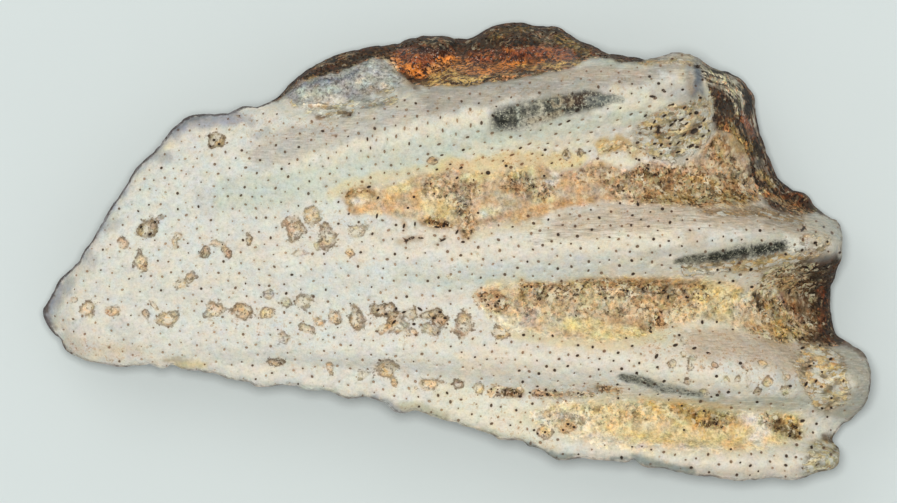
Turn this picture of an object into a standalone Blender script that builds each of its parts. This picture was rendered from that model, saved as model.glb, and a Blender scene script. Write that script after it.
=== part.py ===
# A fossil lungfish tooth plate: four blunt ridges fan out over a white crown, which sits on worn bone.
# It lies on the flat spot of its underside, chewing side up, blunt tip at -X and ridge ends at +X.
# The plan is drawn on the photograph, so plan points are photograph pixels. Heights are millimetres.

import bmesh
import bpy
import numpy as np
from mathutils import Vector, noise

NAME = "tooth_plate"

# Size of the whole tooth
LENGTH = 0.0320
MM = 0.001

# The photograph: the tooth's extent and middle in its pixels
PLAN_LENGTH = 830.0
PLAN_MIDDLE = (457.0, 251.0)
PIXELS_PER_MM = PLAN_LENGTH / (LENGTH / MM)

# Outline, in four sides that share their end points
LEFT_SIDE = [
    (65, 350), (55, 336), (47, 326), (42, 314), (44, 305), (50, 296), (66, 273), (84, 249), (93, 238),
    (109, 210), (136, 168), (156, 149), (172, 129),
]
NORTH_SIDE = [
    (172, 129), (187, 117), (203, 114), (227, 113), (258, 105), (274, 99), (306, 70), (338, 54),
    (366, 47), (405, 39), (440, 35), (468, 38), (495, 25), (526, 21), (557, 26), (578, 39), (604, 52),
    (645, 59), (672, 53), (696, 57), (711, 67), (735, 74),
]
RIGHT_SIDE = [
    (735, 74), (755, 95), (757, 114), (769, 155), (778, 174), (790, 187), (804, 192), (816, 206),
    (839, 220), (843, 231), (842, 260), (836, 276), (832, 295), (834, 320), (838, 334), (854, 345),
    (866, 355), (872, 381), (862, 410), (844, 424), (834, 441), (841, 456), (832, 470),
]
SOUTH_SIDE = [
    (65, 350), (77, 357.5), (112, 366), (147, 364.5), (173, 366), (204, 372.5), (231, 380), (256, 386.5),
    (295, 385.5), (326, 391), (351, 399), (370, 398), (394, 411), (415, 410), (436, 417), (468, 428),
    (491, 434), (520, 440), (547, 454), (572, 460), (606, 461), (633, 460), (651, 468), (700, 476),
    (750, 481), (790, 480), (818, 472), (832, 470),
]

# Ridges and furrows from north to south: pixel, pixel, height in millimetres along each line
NORTH_LINE = [
    (42, 300, 3.5), (84, 235, 3.9), (126, 172, 4.2), (172, 122, 4.4), (244, 102, 4.7), (340, 95, 5.2),
    (415, 78, 5.5), (480, 68, 5.8), (560, 60, 6.1), (640, 50, 6.3), (690, 47, 6.2), (715, 60, 5.2),
    (735, 70, 3.4), (757, 95, 1.9), (790, 165, 1.6), (840, 205, 1.6), (872, 225, 2.0),
]
RIDGE_1 = [
    (42, 308, 3.6), (90, 252, 4.3), (130, 215, 4.7), (230, 178, 5.6), (330, 150, 6.3), (430, 125, 6.9),
    (520, 108, 7.4), (600, 97, 7.6), (660, 86, 7.4), (690, 80, 7.1), (712, 82, 5.9), (740, 110, 3.6),
    (757, 135, 2.3), (790, 178, 1.8), (815, 198, 1.6), (840, 215, 2.0), (872, 232, 2.0),
]
FURROW_1 = [
    (42, 314, 3.6), (90, 275, 4.4), (150, 245, 4.8), (230, 230, 5.5), (310, 215, 6.0), (400, 203, 6.3),
    (500, 193, 6.3), (600, 178, 6.0), (680, 172, 5.3), (720, 170, 4.6), (750, 172, 3.6), (780, 188, 2.2),
    (800, 198, 1.9), (820, 206, 1.9), (840, 222, 2.2), (872, 240, 2.5),
]
RIDGE_2 = [
    (42, 320, 3.6), (90, 290, 4.5), (150, 275, 5.1), (250, 265, 5.9), (350, 258, 6.6), (450, 252, 7.1),
    (550, 246, 7.4), (650, 243, 7.4), (740, 243, 7.0), (790, 240, 6.3), (820, 240, 5.6), (840, 240, 5.0),
    (872, 250, 3.0),
]
FURROW_2 = [
    (42, 326, 3.6), (90, 306, 4.5), (150, 310, 4.8), (240, 314, 5.5), (330, 318, 6.0), (400, 318, 6.3),
    (480, 310, 6.2), (600, 303, 5.7), (690, 303, 5.1), (740, 304, 4.7), (780, 306, 3.5), (810, 308, 2.4),
    (835, 310, 1.7), (872, 330, 2.0),
]
RIDGE_3 = [
    (42, 331, 3.6), (90, 326, 4.4), (150, 330, 4.9), (250, 338, 5.5), (350, 345, 6.1), (450, 352, 6.5),
    (550, 358, 6.8), (650, 366, 6.9), (730, 376, 6.6), (780, 382, 6.0), (806, 385, 5.4), (820, 384, 5.0),
    (850, 381, 5.3), (872, 381, 4.8),
]
FURROW_3 = [
    (42, 336, 3.6), (90, 342, 4.3), (150, 350, 4.6), (240, 357, 5.0), (300, 366, 5.2), (380, 376, 5.5),
    (430, 384, 5.6), (500, 398, 5.4), (560, 412, 5.2), (640, 418, 4.9), (720, 425, 4.6), (790, 426, 4.2),
    (820, 432, 3.5), (835, 438, 2.7), (872, 450, 2.0),
]
RIDGE_4 = [
    (42, 341, 3.6), (90, 352, 4.2), (150, 358, 4.4), (240, 370, 4.8), (300, 381, 5.0), (380, 396, 5.2),
    (430, 408, 5.4), (480, 424, 5.6), (560, 446, 5.8), (640, 454, 5.9), (720, 464, 5.8), (790, 464, 5.3),
    (822, 458, 5.0), (840, 455, 4.6), (872, 470, 3.0),
]
SOUTH_LINE = [
    (42, 350, 3.4), (90, 366, 4.0), (150, 370, 4.2), (240, 388, 4.5), (300, 394, 4.6), (380, 408, 4.8),
    (430, 420, 4.9), (480, 438, 5.0), (560, 466, 5.2), (640, 472, 5.2), (720, 486, 5.1), (790, 488, 4.8),
    (832, 480, 4.4), (872, 480, 3.0),
]
GUIDE_LINES = [
    NORTH_LINE, RIDGE_1, FURROW_1, RIDGE_2, FURROW_2, RIDGE_3, FURROW_3, RIDGE_4, SOUTH_LINE,
]
GUIDE_BLUR = 14.0          # pixels over which a guide line's corners are rounded

# Matrix left in the furrows lies this far above their floors, in millimetres, from this pixel on
FILL_DEPTH = 0.28
FILL_START = {2: 380.0, 4: 480.0, 6: 520.0}
FILL_SOFTNESS = 0.10

# Lumps at the ridge ends: pixel, pixel, radius in pixels, height in millimetres
RIDGE_END_LUMPS = [(688, 77, 19, 0.35), (822, 243, 17, 0.35), (851, 381, 17, 0.40), (823, 458, 14, 0.35)]

# Pits and lost corners in the crown: pixel, pixel, radius in pixels, depth in millimetres
CROWN_PITS = [
    (214, 140, 9, 0.22), (147, 229, 11, 0.24), (119, 243, 7, 0.14), (141, 263, 8, 0.16),
    (212, 247, 10, 0.15), (182, 282, 9, 0.14), (85, 307, 9, 0.18), (112, 310, 8, 0.15),
    (163, 316, 11, 0.18), (208, 308, 8, 0.14), (243, 314, 11, 0.20), (302, 303, 9, 0.16),
    (313, 320, 9, 0.14), (355, 320, 10, 0.18), (296, 224, 11, 0.20), (316, 212, 11, 0.18),
    (330, 236, 11, 0.20), (392, 318, 17, 0.20), (428, 322, 13, 0.18), (463, 323, 10, 0.18),
    (505, 340, 9, 0.15), (385, 372, 10, 0.20), (430, 383, 11, 0.16), (510, 390, 13, 0.15),
    (545, 432, 9, 0.16), (568, 427, 9, 0.16), (690, 128, 16, 0.30), (676, 150, 11, 0.25),
    (803, 230, 8, 0.18), (790, 372, 9, 0.15), (833, 372, 15, 0.25), (820, 400, 11, 0.18),
]

# The crown's edge above the bare bone on the north side, and the flake struck off it
BONE_EDGE = [
    (150, 60), (230, 84), (268, 101), (300, 112), (340, 108), (380, 98), (415, 88), (470, 80),
    (540, 72), (600, 62), (640, 54), (690, 30),
]
EDGE_ROUND = 0.42          # rounding of the rim, in millimetres
CROWN_FACE_SLOPE = 2.6
BONE_RIM = [
    (250, 4.3), (282, 3.9), (310, 3.3), (350, 2.7), (430, 2.2), (540, 2.2), (590, 2.8), (630, 3.9),
    (660, 5.2),
]
BONE_RISE = 2.1
BONE_WIDTH = 1.9
BONE_LUMP = 0.28
FLAKE_SCAR = {"start": 270.0, "end": 440.0, "fade": 70.0, "height": 5.05, "slope": 0.85}
TIP_BEVEL = {"end": 92.0, "width": 1.1, "drop": 0.75}

# Wall from the rim down to the foot: share of the height left, and inset in millimetres
WALL_ROWS = [
    (1.00, 0.00), (0.86, 0.02), (0.72, 0.08), (0.62, 0.26), (0.55, 0.62), (0.44, 0.88), (0.28, 1.12),
    (0.13, 1.48), (0.00, 1.95),
]
WALL_LUMP = 0.20
LUMP_SIZE = 2.1            # millimetres from one lump to the next

# Underside: the foot's height, and the flat spot that the tooth rests on
FOOT_HEIGHT = 1.25
FOOT_LUMP = 0.30
FLAT_SPOT = {"x": 1.6, "y": -0.1, "half_length": 4.9, "half_width": 2.9}
UNDERSIDE_LUMP = 0.26
UNDERSIDE_SINK = 0.10

# Mesh: cells along and across the fine body, and the faces kept after it is thinned
CELLS_ALONG = 240
CELLS_ACROSS = 120
FACES_KEPT = 9300
SNAP = 0.012               # millimetres above the table that still count as the flat spot

COLOUR = (0.66, 0.63, 0.54, 1.0)
ROUGHNESS = 0.55


def to_mm(points):
    """Photograph pixels to millimetres in the tooth's own frame."""
    pixels = np.asarray(points, dtype=float)
    x = (pixels[:, 0] - PLAN_MIDDLE[0]) / PIXELS_PER_MM
    y = (PLAN_MIDDLE[1] - pixels[:, 1]) / PIXELS_PER_MM
    return np.column_stack([x, y])


def smooth_step(value, low, high):
    share = np.clip((value - low) / (high - low), 0.0, 1.0)
    return share * share * (3.0 - 2.0 * share)


def smooth_max(a, b, softness):
    """The larger of two heights, with the crease between them rounded."""
    return softness * np.logaddexp(a / softness, b / softness)


def curve_through(points, steps=6):
    """Catmull-Rom curve through the points, as millimetres."""
    p = to_mm(points)
    p = np.vstack([2 * p[0] - p[1], p, 2 * p[-1] - p[-2]])
    samples = []
    for a, b, c, d in zip(p[:-3], p[1:-2], p[2:-1], p[3:], strict=True):
        for step in range(steps):
            t = step / steps
            samples.append(
                0.5 * ((2 * b) + (c - a) * t + (2 * a - 5 * b + 4 * c - d) * t**2
                       + (3 * b - a - 3 * c + d) * t**3)
            )
    samples.append(p[-2])
    return np.array(samples)


def point_along(curve, share):
    """Points at these shares of a curve's length."""
    lengths = np.concatenate([[0.0], np.cumsum(np.linalg.norm(np.diff(curve, axis=0), axis=1))])
    lengths /= lengths[-1]
    return np.column_stack([np.interp(share, lengths, curve[:, axis]) for axis in (0, 1)])


def plan_point(s, t, sides):
    """Place in plan for shares s along and t across, from the four sides of the outline."""
    left, north, right, south = sides
    s = s[:, None]
    t = t[:, None]
    low, high = point_along(south, s[:, 0]), point_along(north, s[:, 0])
    near, far = point_along(left, t[:, 0]), point_along(right[::-1], t[:, 0])
    corners = (
        (1 - s) * (1 - t) * south[0] + s * (1 - t) * south[-1] + (1 - s) * t * north[0] + s * t * north[-1]
    )
    return (1 - t) * low + t * high + (1 - s) * near + s * far - corners


def distance_to(outline, places):
    """Shortest distance from each place to the closed outline."""
    start = outline
    run = np.roll(outline, -1, axis=0) - outline
    run_squared = np.maximum((run**2).sum(axis=1), 1e-12)
    nearest = np.empty(len(places))
    for first in range(0, len(places), 4000):
        block = places[first:first + 4000, None, :] - start[None, :, :]
        share = np.clip((block * run).sum(axis=2) / run_squared, 0.0, 1.0)
        gap = block - share[:, :, None] * run
        nearest[first:first + 4000] = np.sqrt((gap**2).sum(axis=2).min(axis=1))
    return nearest


def lumps(places, size, seed):
    """Soft uneven relief between about -1 and 1."""
    offset = Vector((seed * 17.3, seed * 5.1, seed * 9.7))
    return np.array([noise.noise(Vector(p) / size + offset) * 2.0 for p in places])


def guide_values(line, u):
    """A guide line's pixel row and height above each pixel column, with its corners rounded."""
    columns = np.arange(0.0, 901.0, 2.0)
    table = np.asarray(line, dtype=float)
    reach = np.arange(-3.0 * GUIDE_BLUR, 3.0 * GUIDE_BLUR + 1.0, 2.0)
    weights = np.exp(-0.5 * (reach / GUIDE_BLUR) ** 2)
    weights /= weights.sum()
    values = []
    for column in (1, 2):
        raw = np.interp(columns, table[:, 0], table[:, column])
        padded = np.pad(raw, len(reach) // 2, mode="edge")
        values.append(np.interp(u, columns, np.convolve(padded, weights, mode="valid")))
    return values


def crown_height(places):
    """Ridges, furrows and the lumps at the ridge ends, without the rim."""
    u = places[:, 0] * PIXELS_PER_MM + PLAN_MIDDLE[0]
    v = PLAN_MIDDLE[1] - places[:, 1] * PIXELS_PER_MM
    guides = [guide_values(line, u) for line in GUIDE_LINES]
    height = guides[0][1].copy()
    last = len(guides) - 1
    for index in range(last):
        row, level = guides[index]
        next_row, next_level = guides[index + 1]
        share = np.clip((v - row) / np.maximum(next_row - row, 1.0), 0.0, 1.0)
        if index == 0:
            blend = 1.0 - np.cos(0.5 * np.pi * (1.0 - share))
            part = next_level + (level - next_level) * blend
        elif index == last - 1:
            blend = 1.0 - np.cos(0.5 * np.pi * share)
            part = level + (next_level - level) * blend
        else:
            part = level + (next_level - level) * (0.5 - 0.5 * np.cos(np.pi * share))
        height = np.where(v >= row, part, height)
    for index, start in FILL_START.items():
        row, level = guides[index]
        filled = level + FILL_DEPTH * smooth_step(u, start, start + 90.0)
        near = 1.0 - smooth_step(np.abs(v - row), 30.0, 55.0)
        height = height + near * (smooth_max(height, filled, FILL_SOFTNESS) - height)
    for lump_u, lump_v, radius, rise in RIDGE_END_LUMPS:
        height = height + rise * np.exp(-((u - lump_u) ** 2 + (v - lump_v) ** 2) / radius**2)
    return height


def pit_depth(places):
    """How deep the pits reach at each place."""
    depth = np.zeros(len(places))
    centres = to_mm([pit[:2] for pit in CROWN_PITS])
    for (x, y), (_, _, radius, deep) in zip(centres, CROWN_PITS, strict=True):
        away = np.hypot(places[:, 0] - x, places[:, 1] - y) / (radius / PIXELS_PER_MM)
        depth = np.maximum(depth, deep * (1.0 - smooth_step(away, 0.45, 1.15)))
    return depth


def top_height(places, rim_distance):
    """The whole upper side: crown, its rim, the flake scar and the bone on the north side."""
    u = places[:, 0] * PIXELS_PER_MM + PLAN_MIDDLE[0]
    crown = crown_height(places) - pit_depth(places)
    edge = to_mm(BONE_EDGE)
    beyond = places[:, 1] - np.interp(places[:, 0], edge[:, 0], edge[:, 1])
    rounding = 0.3 * smooth_step(beyond, -0.4, 0.0)
    crown = crown - rounding - CROWN_FACE_SLOPE * np.maximum(beyond, 0.0)
    scar = FLAKE_SCAR["height"] - FLAKE_SCAR["slope"] * np.maximum(beyond, 0.0)
    inside = smooth_step(u, FLAKE_SCAR["start"], FLAKE_SCAR["start"] + FLAKE_SCAR["fade"])
    inside = inside * (1.0 - smooth_step(u, FLAKE_SCAR["end"] - FLAKE_SCAR["fade"], FLAKE_SCAR["end"]))
    scar = scar - 2.6 * (1.0 - inside)
    rise = 1.0 - (1.0 - np.clip(rim_distance / BONE_WIDTH, 0.0, 1.0)) ** 2
    rim = np.asarray(BONE_RIM)
    bone = np.interp(u, rim[:, 0], rim[:, 1]) + BONE_RISE * rise
    level = np.column_stack([places, np.zeros(len(places))])
    bone = bone + BONE_LUMP * (lumps(level, 1.7, 3) + 0.6 * lumps(level, 0.75, 4))
    bone = np.where(beyond > -0.3, bone, 0.0)
    height = smooth_max(smooth_max(crown, scar * (beyond > -0.3), 0.05), bone, 0.08)
    inward = np.clip(1.0 - rim_distance / EDGE_ROUND, 0.0, 1.0)
    height = height - EDGE_ROUND * (1.0 - np.sqrt(1.0 - inward**2 * 0.98))
    bevel = 1.0 - smooth_step(rim_distance, 0.0, TIP_BEVEL["width"])
    return height - TIP_BEVEL["drop"] * bevel * (1.0 - smooth_step(u, 52.0, TIP_BEVEL["end"]))


def underside_height(places):
    """Worn bone under the tooth, cut off level where it rests."""
    spot = FLAT_SPOT
    away = np.hypot(
        (places[:, 0] - spot["x"]) / spot["half_length"], (places[:, 1] - spot["y"]) / spot["half_width"]
    )
    solid = np.column_stack([places, np.zeros(len(places))])
    rough = lumps(solid, LUMP_SIZE, 7) + 0.5 * lumps(solid, LUMP_SIZE * 0.45, 8)
    climb = smooth_step(away, 0.75, 2.2)
    height = (FOOT_HEIGHT + FOOT_LUMP * lumps(solid, 4.0, 9)) * climb * 1.25
    height = height + UNDERSIDE_LUMP * rough * smooth_step(away, 0.7, 1.2) - UNDERSIDE_SINK
    return np.maximum(height, 0.0)


def unit_block():
    """A cube cut into cells: s and t run from 0 to 1 in plan, rows run up the wall."""
    cells = (CELLS_ALONG, CELLS_ACROSS, len(WALL_ROWS) - 1)
    body = bmesh.new()
    bmesh.ops.create_cube(body, size=1.0)
    for axis, count in enumerate(cells):
        along = []
        for edge in body.edges:
            step = edge.verts[1].co - edge.verts[0].co
            if abs(step[axis]) > 0.5:
                along.append(edge)
        bmesh.ops.subdivide_edges(body, edges=along, cuts=count - 1, use_grid_fill=True)
    return body


def shape_block(body):
    """Moves the block's points onto the tooth."""
    unit = np.array([vert.co[:] for vert in body.verts]) + 0.5
    sides = [curve_through(side) for side in (LEFT_SIDE, NORTH_SIDE, RIGHT_SIDE, SOUTH_SIDE)]
    left, north, right, south = sides
    outline = np.vstack([left[:-1], north[:-1], right[:-1], south[::-1][:-1]])
    plan = plan_point(unit[:, 0], unit[:, 1], sides)
    rim_distance = distance_to(outline, plan)
    top = top_height(plan, rim_distance)

    rows = np.array(WALL_ROWS[::-1])
    row = np.rint(unit[:, 2] * (len(WALL_ROWS) - 1)).astype(int)
    left_over, inset = rows[row, 0], rows[row, 1]
    half = np.array([LENGTH / MM / 2.0, np.ptp(outline[:, 1]) / 2.0])
    pulled = plan * (1.0 - inset[:, None] / half)
    foot_plan = plan * (1.0 - rows[0, 1] / half)
    foot = underside_height(foot_plan)
    z = foot + (top - foot) * left_over

    wall = np.column_stack([pulled, z])
    rough = lumps(wall, LUMP_SIZE, 1) + 0.5 * lumps(wall, LUMP_SIZE * 0.4, 2)
    push = WALL_LUMP * rough * smooth_step(1.0 - left_over, 0.15, 0.5) * (row > 0)
    outward = pulled / np.maximum(np.linalg.norm(pulled, axis=1), 1.0)[:, None]
    pulled = pulled + outward * push[:, None]
    points = np.column_stack([pulled, z]) * MM
    for vert, point in zip(body.verts, points, strict=True):
        vert.co = point


def thin_out(tooth):
    """Keeps the faces that the shape needs, and levels the flat spot again."""
    decimate = tooth.modifiers.new("thin", "DECIMATE")
    decimate.ratio = FACES_KEPT / (2.0 * len(tooth.data.polygons))
    decimate.use_collapse_triangulate = True
    view = bpy.context.evaluated_depsgraph_get()
    thinned = bpy.data.meshes.new_from_object(tooth.evaluated_get(view))
    tooth.modifiers.clear()
    tooth.data = thinned
    corners = np.array([vert.co[:] for vert in thinned.vertices])
    corners[:, 2] -= max(corners[:, 2].min(), 0.0)
    corners[corners[:, 2] < SNAP * MM, 2] = 0.0
    corners[:, :2] -= (corners[:, :2].min(axis=0) + corners[:, :2].max(axis=0)) / 2.0
    for vert, point in zip(thinned.vertices, corners, strict=True):
        vert.co = point


def tooth_material():
    material = bpy.data.materials.new("fossil_enamel")
    material.use_nodes = True
    shader = material.node_tree.nodes["Principled BSDF"]
    shader.inputs["Base Color"].default_value = COLOUR
    shader.inputs["Roughness"].default_value = ROUGHNESS
    shader.inputs["Metallic"].default_value = 0.0
    return material


def make_tooth():
    for old in list(bpy.data.objects):
        bpy.data.objects.remove(old, do_unlink=True)
    body = unit_block()
    shape_block(body)
    mesh = bpy.data.meshes.new(NAME)
    body.to_mesh(mesh)
    body.free()
    tooth = bpy.data.objects.new(NAME, mesh)
    parts = bpy.data.collections.new("lungfish_tooth")
    bpy.context.scene.collection.children.link(parts)
    parts.objects.link(tooth)
    thin_out(tooth)
    tooth.data.shade_smooth()
    tooth.data.materials.clear()
    tooth.data.materials.append(tooth_material())
    return tooth


make_tooth()
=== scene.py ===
# A fossil lungfish tooth plate: white pored crown, ochre matrix in its furrows, dark bone and rust round it.
# Shapes are worked out in millimetres. Places in plan are pixels of the photograph, named as such.
import math

import bpy
import numpy as np
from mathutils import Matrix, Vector, noise
from mathutils.geometry import delaunay_2d_cdt
from mathutils.kdtree import KDTree


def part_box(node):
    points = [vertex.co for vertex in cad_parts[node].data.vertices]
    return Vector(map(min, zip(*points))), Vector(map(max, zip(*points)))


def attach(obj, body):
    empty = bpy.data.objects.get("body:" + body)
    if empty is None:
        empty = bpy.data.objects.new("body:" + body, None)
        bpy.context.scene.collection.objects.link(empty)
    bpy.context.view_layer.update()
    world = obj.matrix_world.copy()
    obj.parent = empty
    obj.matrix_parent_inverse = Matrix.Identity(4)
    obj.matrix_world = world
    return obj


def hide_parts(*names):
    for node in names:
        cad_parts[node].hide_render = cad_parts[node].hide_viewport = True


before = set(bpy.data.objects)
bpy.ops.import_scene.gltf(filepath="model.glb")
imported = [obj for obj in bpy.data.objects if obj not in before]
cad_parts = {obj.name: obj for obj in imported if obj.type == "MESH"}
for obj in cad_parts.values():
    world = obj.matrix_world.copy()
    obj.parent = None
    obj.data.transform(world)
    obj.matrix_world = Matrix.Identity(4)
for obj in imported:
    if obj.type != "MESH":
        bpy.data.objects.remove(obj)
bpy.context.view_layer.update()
mm = 0.001
node = "tooth_plate"
lowCorner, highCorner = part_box(node)

photo = {"wide": 897.0, "high": 503.0, "toothWide": 830.0, "toothMiddle": (457.0, 251.0)}
toothLength = (highCorner.x - lowCorner.x) / mm
perMm = photo["toothWide"] / toothLength  # photograph pixels in a millimetre
print("frame loaded, tooth", round(toothLength, 2), "mm long")


# Small tools for numbers

def toMm(pixels):
    p = np.asarray(pixels, dtype=float)
    middleU, middleV = photo["toothMiddle"]
    return np.column_stack([(p[:, 0] - middleU) / perMm, (middleV - p[:, 1]) / perMm])


def toPixels(places):
    middleU, middleV = photo["toothMiddle"]
    return places[:, 0] * perMm + middleU, middleV - places[:, 1] * perMm


def smooth(value, low, high):
    share = np.clip((value - low) / (high - low), 0.0, 1.0)
    return share * share * (3.0 - 2.0 * share)


def softMax(a, b, softness):
    return softness * np.logaddexp(a / softness, b / softness)


def rough(places, size, seed):
    # soft unevenness between about -1 and 1, one lump every size millimetres
    shift = Vector((seed * 17.3, seed * 5.1, seed * 9.7))
    if places.shape[1] == 2:
        places = np.column_stack([places, np.zeros(len(places))])
    return np.array([noise.noise(Vector(p) / size + shift) * 2.0 for p in places])


def closedCurve(points, spacing):
    # Catmull-Rom through the points, then even steps along it
    p = toMm(points)
    before, after, beyond = np.roll(p, 1, axis=0), np.roll(p, -1, axis=0), np.roll(p, -2, axis=0)
    samples = []
    for a, b, c, d in zip(before, p, after, beyond, strict=True):
        for t in np.arange(0.0, 1.0, 0.125):
            samples.append(0.5 * (2 * b + (c - a) * t + (2 * a - 5 * b + 4 * c - d) * t**2
                                  + (3 * b - a - 3 * c + d) * t**3))
    samples = np.array(samples + samples[:1])
    lengths = np.concatenate([[0.0], np.cumsum(np.linalg.norm(np.diff(samples, axis=0), axis=1))])
    steps = np.linspace(0.0, lengths[-1], int(lengths[-1] / spacing) + 1)[:-1]
    return np.column_stack([np.interp(steps, lengths, samples[:, k]) for k in (0, 1)])


def edgePlace(line, places):
    # how far each place is from a closed line, and how far round the line its nearest point lies
    run = np.roll(line, -1, axis=0) - line
    runSquared = np.maximum((run**2).sum(axis=1), 1e-12)
    lengths = np.sqrt(runSquared)
    starts = np.cumsum(lengths) - lengths
    gap, arc = np.empty(len(places)), np.empty(len(places))
    block = max(1, 4000000 // len(run))
    for first in range(0, len(places), block):
        part = places[first:first + block, None, :] - line[None, :, :]
        share = np.clip((part * run).sum(axis=2) / runSquared, 0.0, 1.0)
        part = part - share[:, :, None] * run
        away = (part**2).sum(axis=2)
        nearest = away.argmin(axis=1)
        rows = np.arange(len(nearest))
        gap[first:first + block] = np.sqrt(away[rows, nearest])
        arc[first:first + block] = starts[nearest] + share[rows, nearest] * lengths[nearest]
    return gap, arc


def inside(line, places):
    # even-odd rule, one edge of the line at a time
    x, y = places[:, 0], places[:, 1]
    odd = np.zeros(len(places), dtype=bool)
    for (ax, ay), (bx, by) in zip(line, np.roll(line, -1, axis=0), strict=True):
        crosses = (ay > y) != (by > y)
        if ay != by:
            odd ^= crosses & (x < (bx - ax) * (y - ay) / (by - ay) + ax)
    return odd


# Outline in plan, clockwise on the photograph from the low left

outlinePixels = [
    (65, 350), (60, 341), (55, 336), (47, 326), (42, 314), (44, 305), (50, 296), (58, 281), (66, 273),
    (77, 262), (84, 249), (93, 238), (109, 210), (126, 184), (136, 168), (156, 149), (172, 129),
    (187, 117), (203, 114), (227, 113), (244, 106), (258, 105), (274, 99), (287, 86), (306, 70),
    (324, 60), (338, 54), (366, 47), (394, 43), (405, 39), (423, 35), (440, 35), (468, 38), (486, 29),
    (495, 25), (510, 22), (526, 21), (535, 25), (557, 26), (569, 33), (578, 39), (597, 46), (604, 52),
    (637, 58), (645, 59), (660, 57), (672, 53), (684, 53.5), (696, 57), (711, 67), (735, 74), (747, 84),
    (755, 95), (757, 114), (762, 135), (769, 155), (778, 174), (790, 187), (804, 192), (811, 198),
    (816, 206), (831, 217), (839, 220), (843, 231), (842, 248), (842, 260), (836, 276), (832, 295),
    (834, 320), (838, 334), (846, 341), (854, 345), (866, 355), (870, 367), (872, 381), (869, 396),
    (862, 410), (852, 420), (844, 424), (839, 431), (834, 441), (840, 449), (841, 456), (838, 465),
    (832, 470), (818, 472), (805, 478), (790, 480), (771, 478), (750, 481), (725, 479.5), (712, 476),
    (700, 476), (676, 472), (651, 468), (641, 465), (633, 460), (626, 462), (606, 461), (581, 458),
    (572, 460), (558, 460), (547, 454), (537, 448), (528, 446), (520, 440), (501, 440), (491, 434),
    (468, 428), (456, 422), (447, 421), (436, 417), (424, 414), (415, 410), (404, 413), (394, 411),
    (384, 403), (370, 398), (351, 399), (340, 396), (326, 391), (307, 390), (295, 385.5), (282, 386),
    (256, 386.5), (248, 382), (231, 380), (217, 374), (204, 372.5), (186, 370), (173, 366), (163, 368.5),
    (147, 364.5), (128, 367.5), (112, 366), (90, 362.5), (77, 357.5),
]

# Ridges and furrows from north to south: pixel, pixel, height in millimetres

guideLines = [
    [  # north edge
        (42, 300, 3.5), (84, 235, 3.9), (126, 172, 4.2), (172, 122, 4.4), (244, 102, 4.7), (340, 95, 5.2),
        (415, 78, 5.5), (480, 68, 5.8), (560, 60, 6.1), (640, 50, 6.3), (690, 47, 6.2), (715, 60, 5.2),
        (735, 70, 3.4), (757, 95, 1.9), (790, 165, 1.6), (840, 205, 1.6), (872, 225, 2.0)],
    [  # first ridge
        (42, 308, 3.6), (90, 252, 4.3), (130, 215, 4.7), (230, 178, 5.6), (330, 150, 6.3), (430, 125, 6.9),
        (520, 108, 7.4), (600, 97, 7.6), (660, 86, 7.4), (690, 80, 7.1), (712, 82, 5.9), (740, 110, 3.6),
        (757, 135, 2.3), (790, 178, 1.8), (815, 198, 1.6), (840, 215, 2.0), (872, 232, 2.0)],
    [  # first furrow
        (42, 314, 3.6), (90, 275, 4.4), (150, 245, 4.8), (230, 230, 5.5), (310, 215, 6.0), (400, 203, 6.3),
        (500, 193, 6.3), (600, 178, 6.0), (680, 172, 5.3), (720, 170, 4.6), (750, 172, 3.6), (780, 188, 2.2),
        (800, 198, 1.9), (820, 206, 1.9), (840, 222, 2.2), (872, 240, 2.5)],
    [  # second ridge
        (42, 320, 3.6), (90, 290, 4.5), (150, 275, 5.1), (250, 265, 5.9), (350, 258, 6.6), (450, 252, 7.1),
        (550, 246, 7.4), (650, 243, 7.4), (740, 243, 7.0), (790, 240, 6.3), (820, 240, 5.6), (840, 240, 5.0),
        (872, 250, 3.0)],
    [  # second furrow
        (42, 326, 3.6), (90, 306, 4.5), (150, 310, 4.8), (240, 314, 5.5), (330, 318, 6.0), (400, 318, 6.3),
        (480, 310, 6.2), (600, 303, 5.7), (690, 303, 5.1), (740, 304, 4.7), (780, 306, 3.5), (810, 308, 2.4),
        (835, 310, 1.7), (872, 330, 2.0)],
    [  # third ridge
        (42, 331, 3.6), (90, 326, 4.4), (150, 330, 4.9), (250, 338, 5.5), (350, 345, 6.1), (450, 352, 6.5),
        (550, 358, 6.8), (650, 366, 6.9), (730, 376, 6.6), (780, 382, 6.0), (806, 385, 5.4), (820, 384, 5.0),
        (850, 381, 5.3), (872, 381, 4.8)],
    [  # third furrow
        (42, 336, 3.6), (90, 342, 4.3), (150, 350, 4.6), (240, 357, 5.0), (300, 366, 5.2), (380, 376, 5.5),
        (430, 384, 5.6), (500, 398, 5.4), (560, 412, 5.2), (640, 418, 4.9), (720, 425, 4.6), (790, 426, 4.2),
        (820, 432, 3.5), (835, 438, 2.7), (872, 450, 2.0)],
    [  # fourth ridge
        (42, 341, 3.6), (90, 352, 4.2), (150, 358, 4.4), (240, 370, 4.8), (300, 381, 5.0), (380, 396, 5.2),
        (430, 408, 5.4), (480, 424, 5.6), (560, 446, 5.8), (640, 454, 5.9), (720, 464, 5.8), (790, 464, 5.3),
        (822, 458, 5.0), (840, 455, 4.6), (872, 470, 3.0)],
    [  # south edge
        (42, 350, 3.4), (90, 366, 4.0), (150, 370, 4.2), (240, 388, 4.5), (300, 394, 4.6), (380, 408, 4.8),
        (430, 420, 4.9), (480, 438, 5.0), (560, 466, 5.2), (640, 472, 5.2), (720, 486, 5.1), (790, 488, 4.8),
        (832, 480, 4.4), (872, 480, 3.0)],
]

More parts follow.
